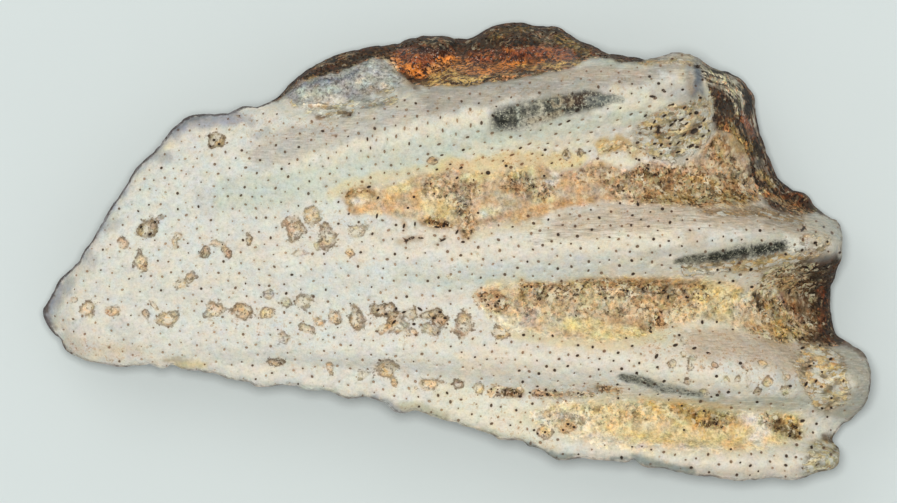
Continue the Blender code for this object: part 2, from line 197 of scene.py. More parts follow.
crown = {
    "guideBlur": 14.0,  # pixels
    "fillDepth": 0.28, "fillStart": {2: 380.0, 4: 480.0, 6: 520.0}, "fillSoftness": 0.10,
    "endLumps": [(688, 77, 19, 0.35), (822, 243, 17, 0.35), (851, 381, 17, 0.40), (823, 458, 14, 0.35)],
    "boneEdge": [(150, 60), (230, 84), (268, 101), (300, 112), (340, 108), (380, 98), (415, 88), (470, 80),
                 (540, 72), (600, 62), (640, 54), (690, 30)],
    "edgeRound": 0.42, "faceSlope": 2.6,
    "boneRim": [(250, 4.3), (282, 3.9), (310, 3.3), (350, 2.7), (430, 2.2), (540, 2.2), (590, 2.8),
                (630, 3.9), (660, 5.2)],
    "boneRise": 2.1, "boneWidth": 1.9, "boneLump": 0.28,
    "scarStart": 270.0, "scarEnd": 440.0, "scarFade": 70.0, "scarHeight": 5.05, "scarSlope": 0.85,
    "bevelEnd": 92.0, "bevelWidth": 1.1, "bevelDrop": 0.75,
}

wall = {
    "rows": [(1.00, 0.00), (0.93, 0.01), (0.86, 0.02), (0.79, 0.04), (0.72, 0.08), (0.66, 0.16), (0.62, 0.26),
             (0.58, 0.44), (0.55, 0.62), (0.50, 0.74), (0.44, 0.88), (0.36, 1.00), (0.28, 1.12), (0.20, 1.29),
             (0.13, 1.48), (0.06, 1.70), (0.00, 1.95)],  # share of the height left, inset in millimetres
    "lump": 0.20, "lumpSize": 2.1, "lowFrom": (0.36, 0.5), "sponge": (0.07, 0.05), "skin": 0.012,
    "rimTone": 0.35, "dentineTone": 0.65,
    "footHeight": 1.25, "footLump": 0.30, "undersideLump": 0.26, "undersideSink": 0.10,
    "spotX": 1.6, "spotY": -0.1, "spotHalfLength": 4.9, "spotHalfWidth": 2.9,
}


def guideValues(line, u):
    columns = np.arange(0.0, 901.0, 2.0)
    table = np.asarray(line, dtype=float)
    blur = crown["guideBlur"]
    reach = np.arange(-3.0 * blur, 3.0 * blur + 1.0, 2.0)
    weights = np.exp(-0.5 * (reach / blur) ** 2)
    weights /= weights.sum()
    values = []
    for k in (1, 2):
        padded = np.pad(np.interp(columns, table[:, 0], table[:, k]), len(reach) // 2, mode="edge")
        values.append(np.interp(u, columns, np.convolve(padded, weights, mode="valid")))
    return values


def crownHeight(places):
    u, v = toPixels(places)
    guides = [guideValues(line, u) for line in guideLines]
    height = guides[0][1].copy()
    last = len(guides) - 1
    for k in range(last):
        row, level = guides[k]
        nextRow, nextLevel = guides[k + 1]
        share = np.clip((v - row) / np.maximum(nextRow - row, 1.0), 0.0, 1.0)
        if k == 0:
            part = nextLevel + (level - nextLevel) * (1.0 - np.cos(0.5 * np.pi * (1.0 - share)))
        elif k == last - 1:
            part = level + (nextLevel - level) * (1.0 - np.cos(0.5 * np.pi * share))
        else:
            part = level + (nextLevel - level) * (0.5 - 0.5 * np.cos(np.pi * share))
        height = np.where(v >= row, part, height)
    for k, start in crown["fillStart"].items():
        row, level = guides[k]
        filled = level + crown["fillDepth"] * smooth(u, start, start + 90.0)
        near = 1.0 - smooth(np.abs(v - row), 30.0, 55.0)
        height = height + near * (softMax(height, filled, crown["fillSoftness"]) - height)
    for lumpU, lumpV, radius, rise in crown["endLumps"]:
        height = height + rise * np.exp(-((u - lumpU) ** 2 + (v - lumpV) ** 2) / radius**2)
    return height


def beyondEdge(places):
    # millimetres past the crown's edge on the side with the bare bone
    edge = toMm(crown["boneEdge"])
    return places[:, 1] - np.interp(places[:, 0], edge[:, 0], edge[:, 1])


def undersideHeight(places):
    away = np.hypot((places[:, 0] - wall["spotX"]) / wall["spotHalfLength"],
                    (places[:, 1] - wall["spotY"]) / wall["spotHalfWidth"])
    uneven = rough(places, wall["lumpSize"], 7) + 0.5 * rough(places, wall["lumpSize"] * 0.45, 8)
    climb = smooth(away, 0.75, 2.2)
    height = (wall["footHeight"] + wall["footLump"] * rough(places, 4.0, 9)) * climb * 1.25
    height = height + wall["undersideLump"] * uneven * smooth(away, 0.7, 1.2) - wall["undersideSink"]
    spongy = 0.10 * rough(places, 0.55, 21) + 0.07 * rough(places, 0.24, 22)
    return np.maximum(height + spongy * smooth(height, 0.0, 0.25), 0.0)


# Colours, linear

palette = {
    "chalk": (0.735, 0.7, 0.59), "coolChalk": (0.69, 0.705, 0.625), "cream": (0.77, 0.71, 0.53),
    "warmWhite": (0.78, 0.69, 0.54), "pinkGrey": (0.44, 0.4, 0.325), "pinkTan": (0.6, 0.49, 0.36),
    "sage": (0.56, 0.6, 0.48), "steel": (0.42, 0.42, 0.39), "chipGrey": (0.385, 0.375, 0.32),
    "lilac": (0.3, 0.3, 0.345), "slate": (0.16, 0.18, 0.2), "teal": (0.27, 0.3, 0.265),
    "ochre": (0.72, 0.56, 0.33), "yellow": (0.76, 0.62, 0.31), "gold": (0.62, 0.4, 0.12),
    "orange": (0.66, 0.42, 0.21), "deepOrange": (0.45, 0.2, 0.06), "rosyBrown": (0.55, 0.385, 0.235),
    "greyBrown": (0.36, 0.29, 0.2), "olive": (0.34, 0.25, 0.1), "tan": (0.45, 0.285, 0.135),
    "umber": (0.11, 0.052, 0.022), "darkBone": (0.06, 0.033, 0.017), "black": (0.022, 0.016, 0.01),
    "rust": (0.22, 0.058, 0.018), "amber": (0.56, 0.185, 0.034), "charcoal": (0.04, 0.042, 0.03),
    "wornGrey": (0.13, 0.13, 0.095), "boneBrown": (0.2, 0.14, 0.083), "slopeBrown": (0.57, 0.42, 0.23),
    "knobGrey": (0.44, 0.415, 0.33), "crumbGrey": (0.45, 0.39, 0.26), "crumbTan": (0.58, 0.47, 0.29),
    "mossGrey": (0.54, 0.51, 0.36),
}

# Zones: mark, colour, strength, softness, then the upper and the lower edge from west to east

zones = [
    ("chip", "chipGrey", 0.9, 3.0,
     [286, 60, 650, 60],
     [286, 98, 300, 104, 320, 102, 345, 100, 370, 94, 392, 88, 404, 84, 414, 80]),
    ("bone", "umber", 1.0, 3.0,
     [270, 0, 650, 0],
     [270, 100, 279, 101, 286, 94, 294, 85, 302, 79, 318, 76, 336, 73, 350, 67, 362, 62, 376, 59,
      388, 59, 394, 66, 403, 74, 413, 84, 426, 87, 450, 85, 475, 86, 495, 82, 528, 77, 560, 71, 578, 63,
      592, 56, 606, 58, 625, 62, 642, 62]),
    ("crumble", "crumbGrey", 0.75, 6.0,
     [636, 124, 650, 114, 668, 108, 690, 100, 712, 96],
     [636, 148, 655, 157, 673, 163, 695, 154, 712, 134]),
    ("bone", "umber", 1.0, 4.0,
     [702, 40, 822, 40],
     [702, 66, 706, 76, 711, 92, 714, 116, 718, 130, 730, 134, 744, 146, 752, 166, 757, 190, 772, 208,
      795, 215, 812, 214, 822, 210]),
    ("matrix", "rosyBrown", 1.0, 6.0,
     [344, 193, 352, 188, 370, 186, 395, 186, 405, 181, 420, 175, 440, 172, 455, 170, 470, 172, 490, 174,
      505, 171, 520, 166, 540, 166, 560, 172, 575, 172, 590, 163, 600, 160, 612, 167, 628, 171, 640, 163,
      655, 160, 673, 165, 695, 157, 709, 140, 718, 132, 732, 135, 746, 150, 760, 196],
     [344, 202, 352, 212, 368, 213, 385, 213, 400, 218, 415, 221, 430, 227, 445, 229, 455, 225, 462, 240,
      472, 237, 480, 229, 500, 222, 520, 223, 540, 216, 560, 208, 600, 203, 650, 204, 700, 207, 742, 207,
      760, 203]),
    ("matrix", "ochre", 1.0, 6.0,
     [478, 290, 486, 285, 500, 282, 540, 282, 600, 278, 650, 277, 700, 278, 735, 281, 748, 290, 757, 290,
      790, 284],
     [478, 302, 488, 318, 505, 326, 522, 331, 545, 335, 570, 339, 600, 341, 640, 336, 665, 326, 700, 319,
      730, 324, 750, 333, 775, 343, 790, 347]),
    ("matrix", "slopeBrown", 1.0, 5.0,
     [756, 290, 764, 272, 775, 266, 800, 263, 821, 264],
     [756, 316, 764, 330, 775, 326, 790, 334, 800, 346, 821, 346]),
    ("bone", "umber", 1.0, 5.0,
     [817, 270, 824, 265, 850, 258],
     [817, 344, 826, 347, 850, 342]),
    ("matrix", "yellow", 0.85, 9.0,
     [528, 414, 545, 406, 575, 400, 610, 398, 650, 399, 690, 406, 730, 411, 806, 414],
     [528, 420, 545, 430, 575, 438, 610, 446, 650, 450, 700, 452, 750, 450, 806, 440]),
    ("crumble", "crumbTan", 0.8, 6.0,
     [796, 350, 804, 344, 820, 342, 836, 350, 848, 362],
     [796, 370, 806, 392, 815, 408, 830, 412, 848, 400]),
    ("crumble", "mossGrey", 0.7, 5.0,
     [806, 450, 818, 440, 836, 434, 846, 438],
     [806, 484, 846, 480]),
]

# Brush strokes: colour, half width, strength, then the line, all in pixels

crownStrokes = [
    ("coolChalk", 60, 0.6, 150, 200, 260, 215, 340, 265),
    ("coolChalk", 15, 0.5, 340, 274, 470, 270, 600, 260), ("steel", 13, 0.28, 203, 198, 210, 204),
    ("steel", 12, 0.28, 116, 326, 126, 334), ("pinkTan", 22, 0.1, 230, 236, 262, 226, 300, 200),
    ("pinkGrey", 13, 0.35, 600, 86, 650, 88, 690, 92),
    ("coolChalk", 26, 0.35, 110, 280, 200, 330, 330, 345),
    ("warmWhite", 16, 0.5, 250, 250, 380, 245, 470, 240),
    ("warmWhite", 16, 0.7, 470, 360, 560, 356, 660, 356, 700, 372),
    ("coolChalk", 12, 0.7, 440, 276, 540, 274, 640, 272), ("cream", 8, 0.8, 612, 276, 680, 273, 736, 278),
    ("warmWhite", 12, 0.6, 460, 250, 560, 246, 680, 240),
    ("cream", 16, 0.35, 470, 130, 600, 118, 680, 100), ("cream", 10, 0.5, 600, 262, 660, 268, 740, 272),
    ("cream", 13, 0.55, 300, 165, 400, 140, 480, 122), ("cream", 24, 0.7, 450, 402, 540, 428),
    ("cream", 6, 0.8, 165, 147, 168, 145), ("cream", 13, 0.5, 560, 240, 660, 232),
    ("cream", 12, 0.6, 640, 335, 730, 335), ("cream", 15, 0.6, 620, 98, 690, 112),
    ("cream", 5, 0.8, 610, 162, 634, 163), ("warmWhite", 12, 0.6, 600, 450, 700, 462, 790, 466),
    ("pinkTan", 7, 0.4, 640, 470, 760, 474, 800, 470),
    ("pinkGrey", 15, 0.6, 262, 156, 300, 142, 350, 126, 400, 112, 450, 101),
    ("pinkGrey", 14, 0.95, 430, 101, 500, 91, 560, 83, 620, 74, 650, 68),
    ("pinkTan", 6, 0.5, 545, 76, 600, 70, 640, 70), ("sage", 5, 0.5, 600, 62, 640, 66),
    ("pinkGrey", 9, 0.9, 650, 64, 690, 62, 706, 74), ("crumbTan", 3, 0.6, 640, 64, 660, 62, 690, 57),
    ("sage", 19, 0.65, 230, 196, 290, 187, 350, 174, 430, 153, 490, 141),
    ("sage", 9, 0.6, 480, 142, 560, 131, 640, 113), ("teal", 5, 0.25, 490, 132, 530, 130, 590, 112),
    ("sage", 7, 0.4, 400, 277, 520, 277, 600, 274, 680, 270),
    ("yellow", 6, 0.5, 330, 196, 345, 186, 380, 178, 405, 174, 440, 166),
    ("yellow", 11, 0.85, 445, 170, 470, 165, 505, 162, 540, 162, 575, 162),
    ("cream", 7, 0.7, 470, 152, 540, 146, 590, 142), ("ochre", 5, 0.7, 450, 166, 500, 160, 570, 160),
    ("gold", 7, 0.75, 600, 146, 618, 144, 634, 150), ("ochre", 7, 0.6, 628, 152, 642, 150),
    ("yellow", 5, 0.35, 470, 238, 500, 228, 540, 222), ("yellow", 6, 0.5, 478, 296, 490, 284, 520, 279),
    ("yellow", 4, 0.4, 600, 277, 680, 275, 730, 279),
    ("yellow", 6, 0.5, 500, 330, 560, 342, 620, 345, 660, 335), ("cream", 6, 0.5, 660, 330, 700, 326),
    ("pinkTan", 15, 0.75, 560, 228, 640, 217, 720, 214, 800, 224), ("tan", 7, 0.35, 686, 238, 700, 240),
    ("greyBrown", 6, 0.75, 700, 209, 760, 211, 800, 220), ("tan", 4, 0.6, 704, 210, 760, 213, 800, 220),
    ("greyBrown", 6, 0.5, 770, 224, 800, 228), ("knobGrey", 5, 0.5, 640, 254, 700, 246, 780, 236),
    ("chalk", 8, 0.9, 612, 272, 680, 272, 724, 275), ("crumbTan", 7, 0.55, 690, 268, 730, 269, 790, 260),
    ("warmWhite", 4, 0.8, 636, 279, 690, 280, 740, 284, 754, 288),
    ("greyBrown", 6, 0.6, 760, 266, 800, 262), ("pinkTan", 16, 0.85, 700, 344, 745, 344, 790, 360),
    ("pinkTan", 6, 0.5, 680, 336, 730, 330), ("greyBrown", 4, 0.45, 762, 340, 790, 352, 802, 372),
    ("knobGrey", 8, 0.5, 780, 376, 800, 384), ("mossGrey", 6, 0.2, 590, 386, 640, 393, 690, 398),
    ("sage", 7, 0.6, 690, 400, 740, 404, 804, 402),
    ("knobGrey", 7, 0.45, 700, 398, 745, 405, 780, 406, 808, 396),
    ("cream", 7, 0.6, 650, 372, 700, 380, 740, 384),
    ("knobGrey", 11, 0.95, 843, 352, 860, 365, 866, 383, 859, 403, 846, 414),
    ("knobGrey", 8, 0.6, 815, 222, 832, 226, 838, 242, 833, 258, 815, 268),
    ("pinkTan", 10, 0.8, 806, 230, 822, 240, 814, 256), ("steel", 4, 0.6, 812, 262, 824, 260, 834, 250),
    ("knobGrey", 7, 0.8, 822, 408, 845, 412), ("knobGrey", 7, 0.6, 690, 92, 704, 96, 708, 108),
    ("steel", 9, 0.5, 660, 94, 684, 94), ("crumbTan", 5, 0.6, 682, 64, 700, 70),
    ("crumbTan", 8, 0.5, 682, 74, 692, 84), ("tan", 3, 0.5, 700, 80, 704, 90),
    ("slate", 4, 0.85, 697, 66, 698, 80, 692, 94), ("steel", 5, 0.6, 688, 70, 690, 88),
    # the slate stroke on this line is painted shade: a dark line along the outline at the west tip
    ("lilac", 8, 0.72, 46, 322, 48, 305, 57, 288), ("slate", 4, 0.8, 44, 316, 46, 304, 52, 294),
    ("lilac", 5, 0.6, 62, 275, 77, 262, 88, 243, 109, 210, 136, 168, 156, 149, 172, 129),
    ("lilac", 9, 0.72, 174, 132, 188, 122, 205, 119, 232, 119),
    # the slate stroke on this line is painted shade: a dark line along the north-west outline
    ("slate", 3, 0.7, 176, 128, 190, 118, 206, 115), ("steel", 5, 0.8, 152, 153, 160, 158, 168, 157),
    ("steel", 6, 0.6, 106, 228, 116, 222), ("steel", 6, 0.6, 88, 256, 94, 264),
    ("steel", 6, 0.7, 64, 292, 70, 282), ("steel", 5, 0.5, 54, 318, 58, 300),
    ("steel", 6, 0.6, 244, 118, 252, 122), ("steel", 5, 0.6, 258, 136, 268, 132),
    ("tan", 3, 0.6, 399, 243, 410, 239, 421, 236), ("tan", 2.5, 0.6, 403, 222, 406, 230),
    ("greyBrown", 2, 0.5, 437, 244, 446, 238), ("pinkGrey", 8, 0.6, 396, 82, 412, 88, 430, 92),
    ("rosyBrown", 6, 0.7, 494, 391, 520, 393), ("tan", 5, 0.7, 536, 393, 560, 395),
    ("rosyBrown", 4, 0.7, 568, 393, 590, 393), ("tan", 4, 0.7, 598, 388, 616, 390),
    ("ochre", 4, 0.7, 640, 400, 690, 404, 730, 407), ("rosyBrown", 9, 0.25, 70, 345, 100, 350, 135, 352),
    ("ochre", 5, 0.3, 95, 352, 120, 348), ("yellow", 4, 0.75, 178, 366, 190, 364, 203, 367),
    ("olive", 3, 0.5, 166, 360, 186, 361), ("sage", 3, 0.8, 296, 389, 316, 388, 334, 391),
    ("teal", 3, 0.4, 344, 398, 366, 396), ("steel", 5, 0.9, 372, 400, 392, 407, 404, 411),
    ("mossGrey", 5, 0.9, 404, 406, 420, 408, 446, 417), ("mossGrey", 3, 0.7, 462, 425, 500, 437),
    ("teal", 4, 0.8, 522, 445, 545, 453, 573, 458), ("teal", 3, 0.8, 612, 459, 630, 459),
    ("teal", 5, 0.85, 637, 458, 660, 466, 692, 472), ("knobGrey", 9, 0.6, 806, 470, 822, 463, 836, 452),
    ("greyBrown", 4, 0.6, 812, 446, 832, 440), ("olive", 4, 0.45, 690, 269, 740, 264, 792, 255),
    ("mossGrey", 4, 0.4, 684, 256, 730, 246, 780, 238), ("chalk", 9, 0.6, 440, 266, 520, 266, 610, 266),
    ("cream", 9, 0.5, 812, 230, 826, 246), ("warmWhite", 7, 0.8, 606, 271, 670, 271, 728, 275),
    # the umber stroke at the west tip and the slate stroke on the next line are painted shade: a dark line
    # along the outline
    ("crumbTan", 6, 0.5, 740, 268, 790, 260), ("umber", 2.2, 0.7, 46, 300, 47, 316, 54, 329),
    ("slate", 2, 0.5, 50, 292, 58, 283), ("coolChalk", 6, 0.6, 620, 270, 700, 272, 736, 276),
    ("coolChalk", 8, 0.5, 450, 271, 600, 272), ("greyBrown", 4, 0.4, 716, 213, 760, 217, 800, 225),
    ("tan", 3, 0.25, 700, 219, 750, 222),
]

lateStrokes = [  # painted over the zones: the chip, the third ridge's end, the crumbling ridge
    ("slate", 2.4, 0.8, 287, 95, 300, 86, 314, 80, 330, 80, 348, 78, 356, 71, 367, 64),
    ("lilac", 4, 0.48, 292, 96, 306, 86, 330, 84, 350, 82, 364, 72),
    ("coolChalk", 5, 0.4, 362, 72, 376, 68, 392, 76), ("steel", 5, 0.5, 340, 88, 352, 86),
    ("sage", 5, 0.6, 300, 92, 318, 90, 336, 90), ("sage", 5, 0.4, 376, 84, 392, 84),
    ("cream", 3, 0.8, 306, 96, 309, 94), ("cream", 3.5, 0.7, 358, 81, 362, 80),
    ("cream", 4, 0.6, 334, 98, 340, 101), ("steel", 7, 0.5, 346, 90, 392, 84),
    ("greyBrown", 3.5, 0.9, 371, 88, 377, 92), ("cream", 2.5, 0.8, 382, 87, 387, 88),
    ("greyBrown", 1.8, 0.8, 315, 86, 318, 85), ("orange", 3, 0.7, 324, 107, 328, 104),
    ("tan", 3, 0.8, 317, 117, 322, 118), ("umber", 2, 0.8, 340, 112, 350, 113),
    ("slate", 2.2, 0.6, 361, 108, 376, 105, 394, 102), ("teal", 4, 0.5, 350, 98, 366, 98),
    ("greyBrown", 2.5, 0.8, 416, 84, 418, 90), ("cream", 2.5, 0.8, 402, 97, 408, 96),
    ("olive", 3, 0.6, 392, 69, 400, 72), ("cream", 3, 0.7, 802, 350, 812, 347, 820, 352),
    ("orange", 3, 0.7, 806, 354, 812, 362), ("deepOrange", 2.5, 0.7, 829, 357, 833, 364),
    ("orange", 3, 0.7, 818, 378, 822, 386), ("coolChalk", 3, 0.7, 812, 370, 818, 374),
    ("rosyBrown", 3, 0.6, 808, 366, 812, 378), ("mossGrey", 5, 0.6, 820, 392, 834, 398),
    ("cream", 3, 0.7, 824, 372, 832, 380), ("yellow", 3, 0.6, 832, 370, 838, 378),
    ("greyBrown", 2.5, 0.7, 802, 370, 806, 384), ("coolChalk", 4, 0.6, 834, 388, 840, 394),
    ("coolChalk", 5, 0.6, 668, 112, 684, 116), ("coolChalk", 4, 0.6, 664, 150, 678, 156, 692, 150),
    ("olive", 4, 0.6, 654, 128, 660, 140), ("umber", 3, 0.6, 696, 124, 688, 132),
    ("cream", 4, 0.6, 672, 134, 682, 128), ("mossGrey", 5, 0.7, 690, 140, 704, 132),
    ("steel", 4, 0.5, 700, 104, 704, 112), ("greyBrown", 3.2, 0.65, 364, 92, 372, 89, 382, 95),
    ("umber", 2.2, 0.6, 317, 118, 325, 116), ("greyBrown", 2.6, 0.55, 334, 111, 350, 113),
    ("slate", 2.2, 0.6, 288, 85, 308, 82, 325, 80), ("slate", 1.9, 0.6, 328, 81, 344, 77, 356, 73),
    ("umber", 2, 0.6, 413, 85, 416, 90), ("slate", 3.4, 0.75, 698, 70, 699, 82, 703, 93),
    ("black", 1.8, 0.75, 696, 67, 702, 70), ("greyBrown", 2.2, 0.6, 707, 76, 709, 88),
    ("tan", 4, 0.4, 688, 76, 690, 90),
]

matrixStrokes = [
    ("ochre", 16, 0.95, 352, 206, 380, 202, 420, 205, 450, 210),
    ("orange", 12, 0.75, 384, 204, 396, 198, 410, 204), ("orange", 7, 0.8, 362, 208, 372, 207),
    ("tan", 4, 0.9, 350, 194, 362, 189, 373, 194), ("tan", 5, 0.8, 348, 204, 354, 211),
    ("warmWhite", 4, 0.9, 356, 201, 361, 200), ("yellow", 6, 0.7, 390, 190, 405, 187, 425, 178, 440, 176),
    ("rosyBrown", 9, 0.8, 418, 184, 436, 178, 456, 176), ("ochre", 9, 0.5, 428, 194, 450, 190, 470, 196),
    ("yellow", 7, 0.85, 426, 206, 442, 202, 454, 206), ("gold", 6, 0.5, 438, 212, 454, 208),
    ("greyBrown", 6, 0.75, 456, 190, 464, 200, 460, 214), ("tan", 6, 0.85, 424, 222, 446, 226),
    ("rosyBrown", 6, 0.9, 478, 214, 470, 224, 463, 238), ("orange", 7, 0.8, 482, 206, 472, 216),
    ("yellow", 6, 0.8, 466, 178, 505, 177, 530, 172), ("rosyBrown", 12, 0.7, 478, 192, 500, 188, 526, 194),
    ("greyBrown", 6, 0.7, 526, 178, 532, 188, 530, 198), ("mossGrey", 7, 0.5, 500, 196, 512, 204),
    ("cream", 6, 0.7, 484, 214, 500, 210), ("warmWhite", 4, 0.85, 552, 172, 556, 180, 548, 184),
    ("rosyBrown", 4, 0.9, 546, 168, 562, 168), ("mossGrey", 5, 0.6, 528, 184, 536, 192),
    ("orange", 7, 0.85, 515, 218, 545, 210, 575, 202), ("pinkTan", 9, 0.3, 546, 194, 580, 192, 606, 188),
    ("yellow", 5, 0.6, 536, 200, 552, 198), ("rosyBrown", 8, 0.8, 572, 178, 600, 168, 616, 178),
    ("orange", 4, 0.6, 592, 166, 604, 162), ("orange", 8, 0.7, 570, 186, 600, 182, 622, 190),
    ("greyBrown", 6, 0.6, 612, 184, 628, 182), ("tan", 9, 0.8, 640, 172, 655, 176, 680, 182),
    ("deepOrange", 4, 0.3, 560, 206, 590, 198, 620, 196), ("umber", 5, 0.4, 652, 172, 660, 182),
    ("warmWhite", 4, 0.6, 618, 192, 632, 194), ("rosyBrown", 5, 0.8, 634, 168, 676, 170),
    ("orange", 5, 0.5, 634, 178, 650, 186), ("tan", 14, 0.85, 650, 196, 690, 190, 740, 190),
    ("olive", 7, 0.65, 660, 200, 700, 196, 745, 200), ("gold", 5, 0.5, 688, 178, 716, 182),
    ("ochre", 6, 0.5, 700, 190, 712, 196), ("tan", 13, 0.6, 718, 144, 726, 160, 735, 175),
    ("rosyBrown", 8, 0.5, 712, 156, 722, 164, 706, 172), ("ochre", 6, 0.5, 722, 152, 736, 168),
    ("olive", 4, 0.5, 716, 142, 722, 156), ("greyBrown", 5, 0.6, 740, 176, 750, 186),
    ("rosyBrown", 7, 0.8, 736, 160, 748, 168), ("olive", 5, 0.6, 728, 140, 738, 148),
    ("mossGrey", 6, 0.5, 730, 170, 742, 182), ("tan", 8, 0.8, 742, 184, 757, 198),
    ("rosyBrown", 9, 0.85, 484, 298, 500, 300, 506, 308), ("cream", 7, 0.8, 488, 314, 502, 322, 520, 326),
    ("tan", 7, 0.8, 524, 288, 560, 288, 600, 283, 650, 283, 694, 286),
    ("greyBrown", 7, 0.6, 530, 298, 556, 298, 572, 292), ("mossGrey", 9, 0.5, 586, 300, 620, 304),
    ("yellow", 6, 0.6, 572, 284, 590, 290), ("tan", 11, 0.7, 640, 290, 670, 294, 694, 300),
    ("umber", 4, 0.45, 664, 290, 668, 302), ("greyBrown", 5, 0.5, 640, 288, 650, 296),
    ("pinkTan", 8, 0.6, 530, 314, 560, 316, 600, 316, 640, 312),
    ("greyBrown", 3.5, 0.85, 516, 304, 522, 310, 527, 318), ("pinkTan", 5, 0.8, 526, 320, 534, 322),
    ("tan", 6, 0.6, 602, 320, 640, 322), ("yellow", 8, 0.95, 570, 324, 590, 326, 604, 334),
    ("yellow", 8, 0.95, 612, 334, 636, 332), ("orange", 8, 0.85, 657, 314, 666, 326),
    ("tan", 5, 0.6, 640, 324, 650, 330), ("tan", 4, 0.5, 566, 332, 574, 340),
    ("tan", 8, 0.35, 560, 308, 600, 310, 640, 306), ("ochre", 8, 0.6, 698, 300, 690, 312),
    ("yellow", 13, 0.95, 706, 292, 730, 298, 722, 310), ("greyBrown", 6, 0.6, 706, 318, 722, 322),
    ("pinkTan", 7, 0.7, 736, 306, 748, 314), ("warmWhite", 5, 0.5, 742, 298, 752, 306),
    ("deepOrange", 4, 0.8, 748, 324, 757, 328), ("gold", 8, 0.8, 774, 326, 788, 336),
    ("umber", 2.5, 0.6, 756, 290, 760, 312), ("deepOrange", 2, 0.6, 762, 296, 766, 306),
    ("rust", 2.5, 0.7, 782, 294, 786, 304), ("umber", 3, 0.6, 788, 288, 793, 298),
    ("umber", 5, 0.6, 800, 280, 806, 320), ("deepOrange", 2.5, 0.6, 796, 304, 798, 312),
    ("olive", 4, 0.6, 772, 302, 780, 314), ("cream", 2, 0.7, 774, 290, 777, 295),
    ("mossGrey", 6, 0.75, 764, 272, 780, 268, 806, 266), ("umber", 2.5, 0.5, 770, 316, 778, 320),
    ("rosyBrown", 4, 0.7, 764, 318, 772, 324), ("greyBrown", 5, 0.6, 764, 334, 774, 342),
    ("mossGrey", 6, 0.6, 790, 340, 800, 348), ("warmWhite", 12, 0.8, 536, 418, 570, 424, 606, 430),
    ("yellow", 14, 0.85, 600, 420, 650, 424, 690, 430, 736, 430),
    ("ochre", 9, 0.7, 598, 420, 630, 416, 660, 424), ("ochre", 5, 0.5, 612, 404, 640, 406),
    ("gold", 4, 0.55, 652, 404, 664, 418), ("gold", 9, 0.85, 676, 404, 690, 414, 700, 428),
    ("gold", 6, 0.5, 716, 414, 730, 430), ("olive", 11, 0.5, 686, 410, 712, 412, 742, 420),
    ("olive", 6, 0.75, 700, 404, 712, 412, 714, 424), ("umber", 4, 0.6, 716, 424, 722, 428),
    ("mossGrey", 6, 0.6, 722, 408, 740, 414), ("gold", 5, 0.5, 730, 424, 738, 438),
    ("gold", 6, 0.7, 778, 416, 796, 424), ("olive", 10, 0.75, 774, 424, 786, 430, 798, 434),
    ("warmWhite", 9, 0.9, 746, 418, 764, 426, 758, 440), ("cream", 8, 0.6, 536, 424, 560, 430),
    ("warmWhite", 6, 0.8, 590, 444, 660, 450, 720, 452), ("orange", 5, 0.5, 726, 442, 740, 448),
    ("ochre", 8, 0.4, 640, 424, 700, 430, 744, 432), ("umber", 6, 0.45, 776, 422, 786, 430, 798, 434),
    ("cream", 9, 0.3, 436, 196, 476, 198), ("cream", 5, 0.3, 536, 290, 640, 292),
    ("cream", 8, 0.3, 764, 290, 792, 318), ("cream", 7, 0.35, 762, 286, 780, 302, 796, 324),
    ("cream", 9, 0.35, 544, 420, 598, 426),
]

# Bare bone, rust and worn places, painted last

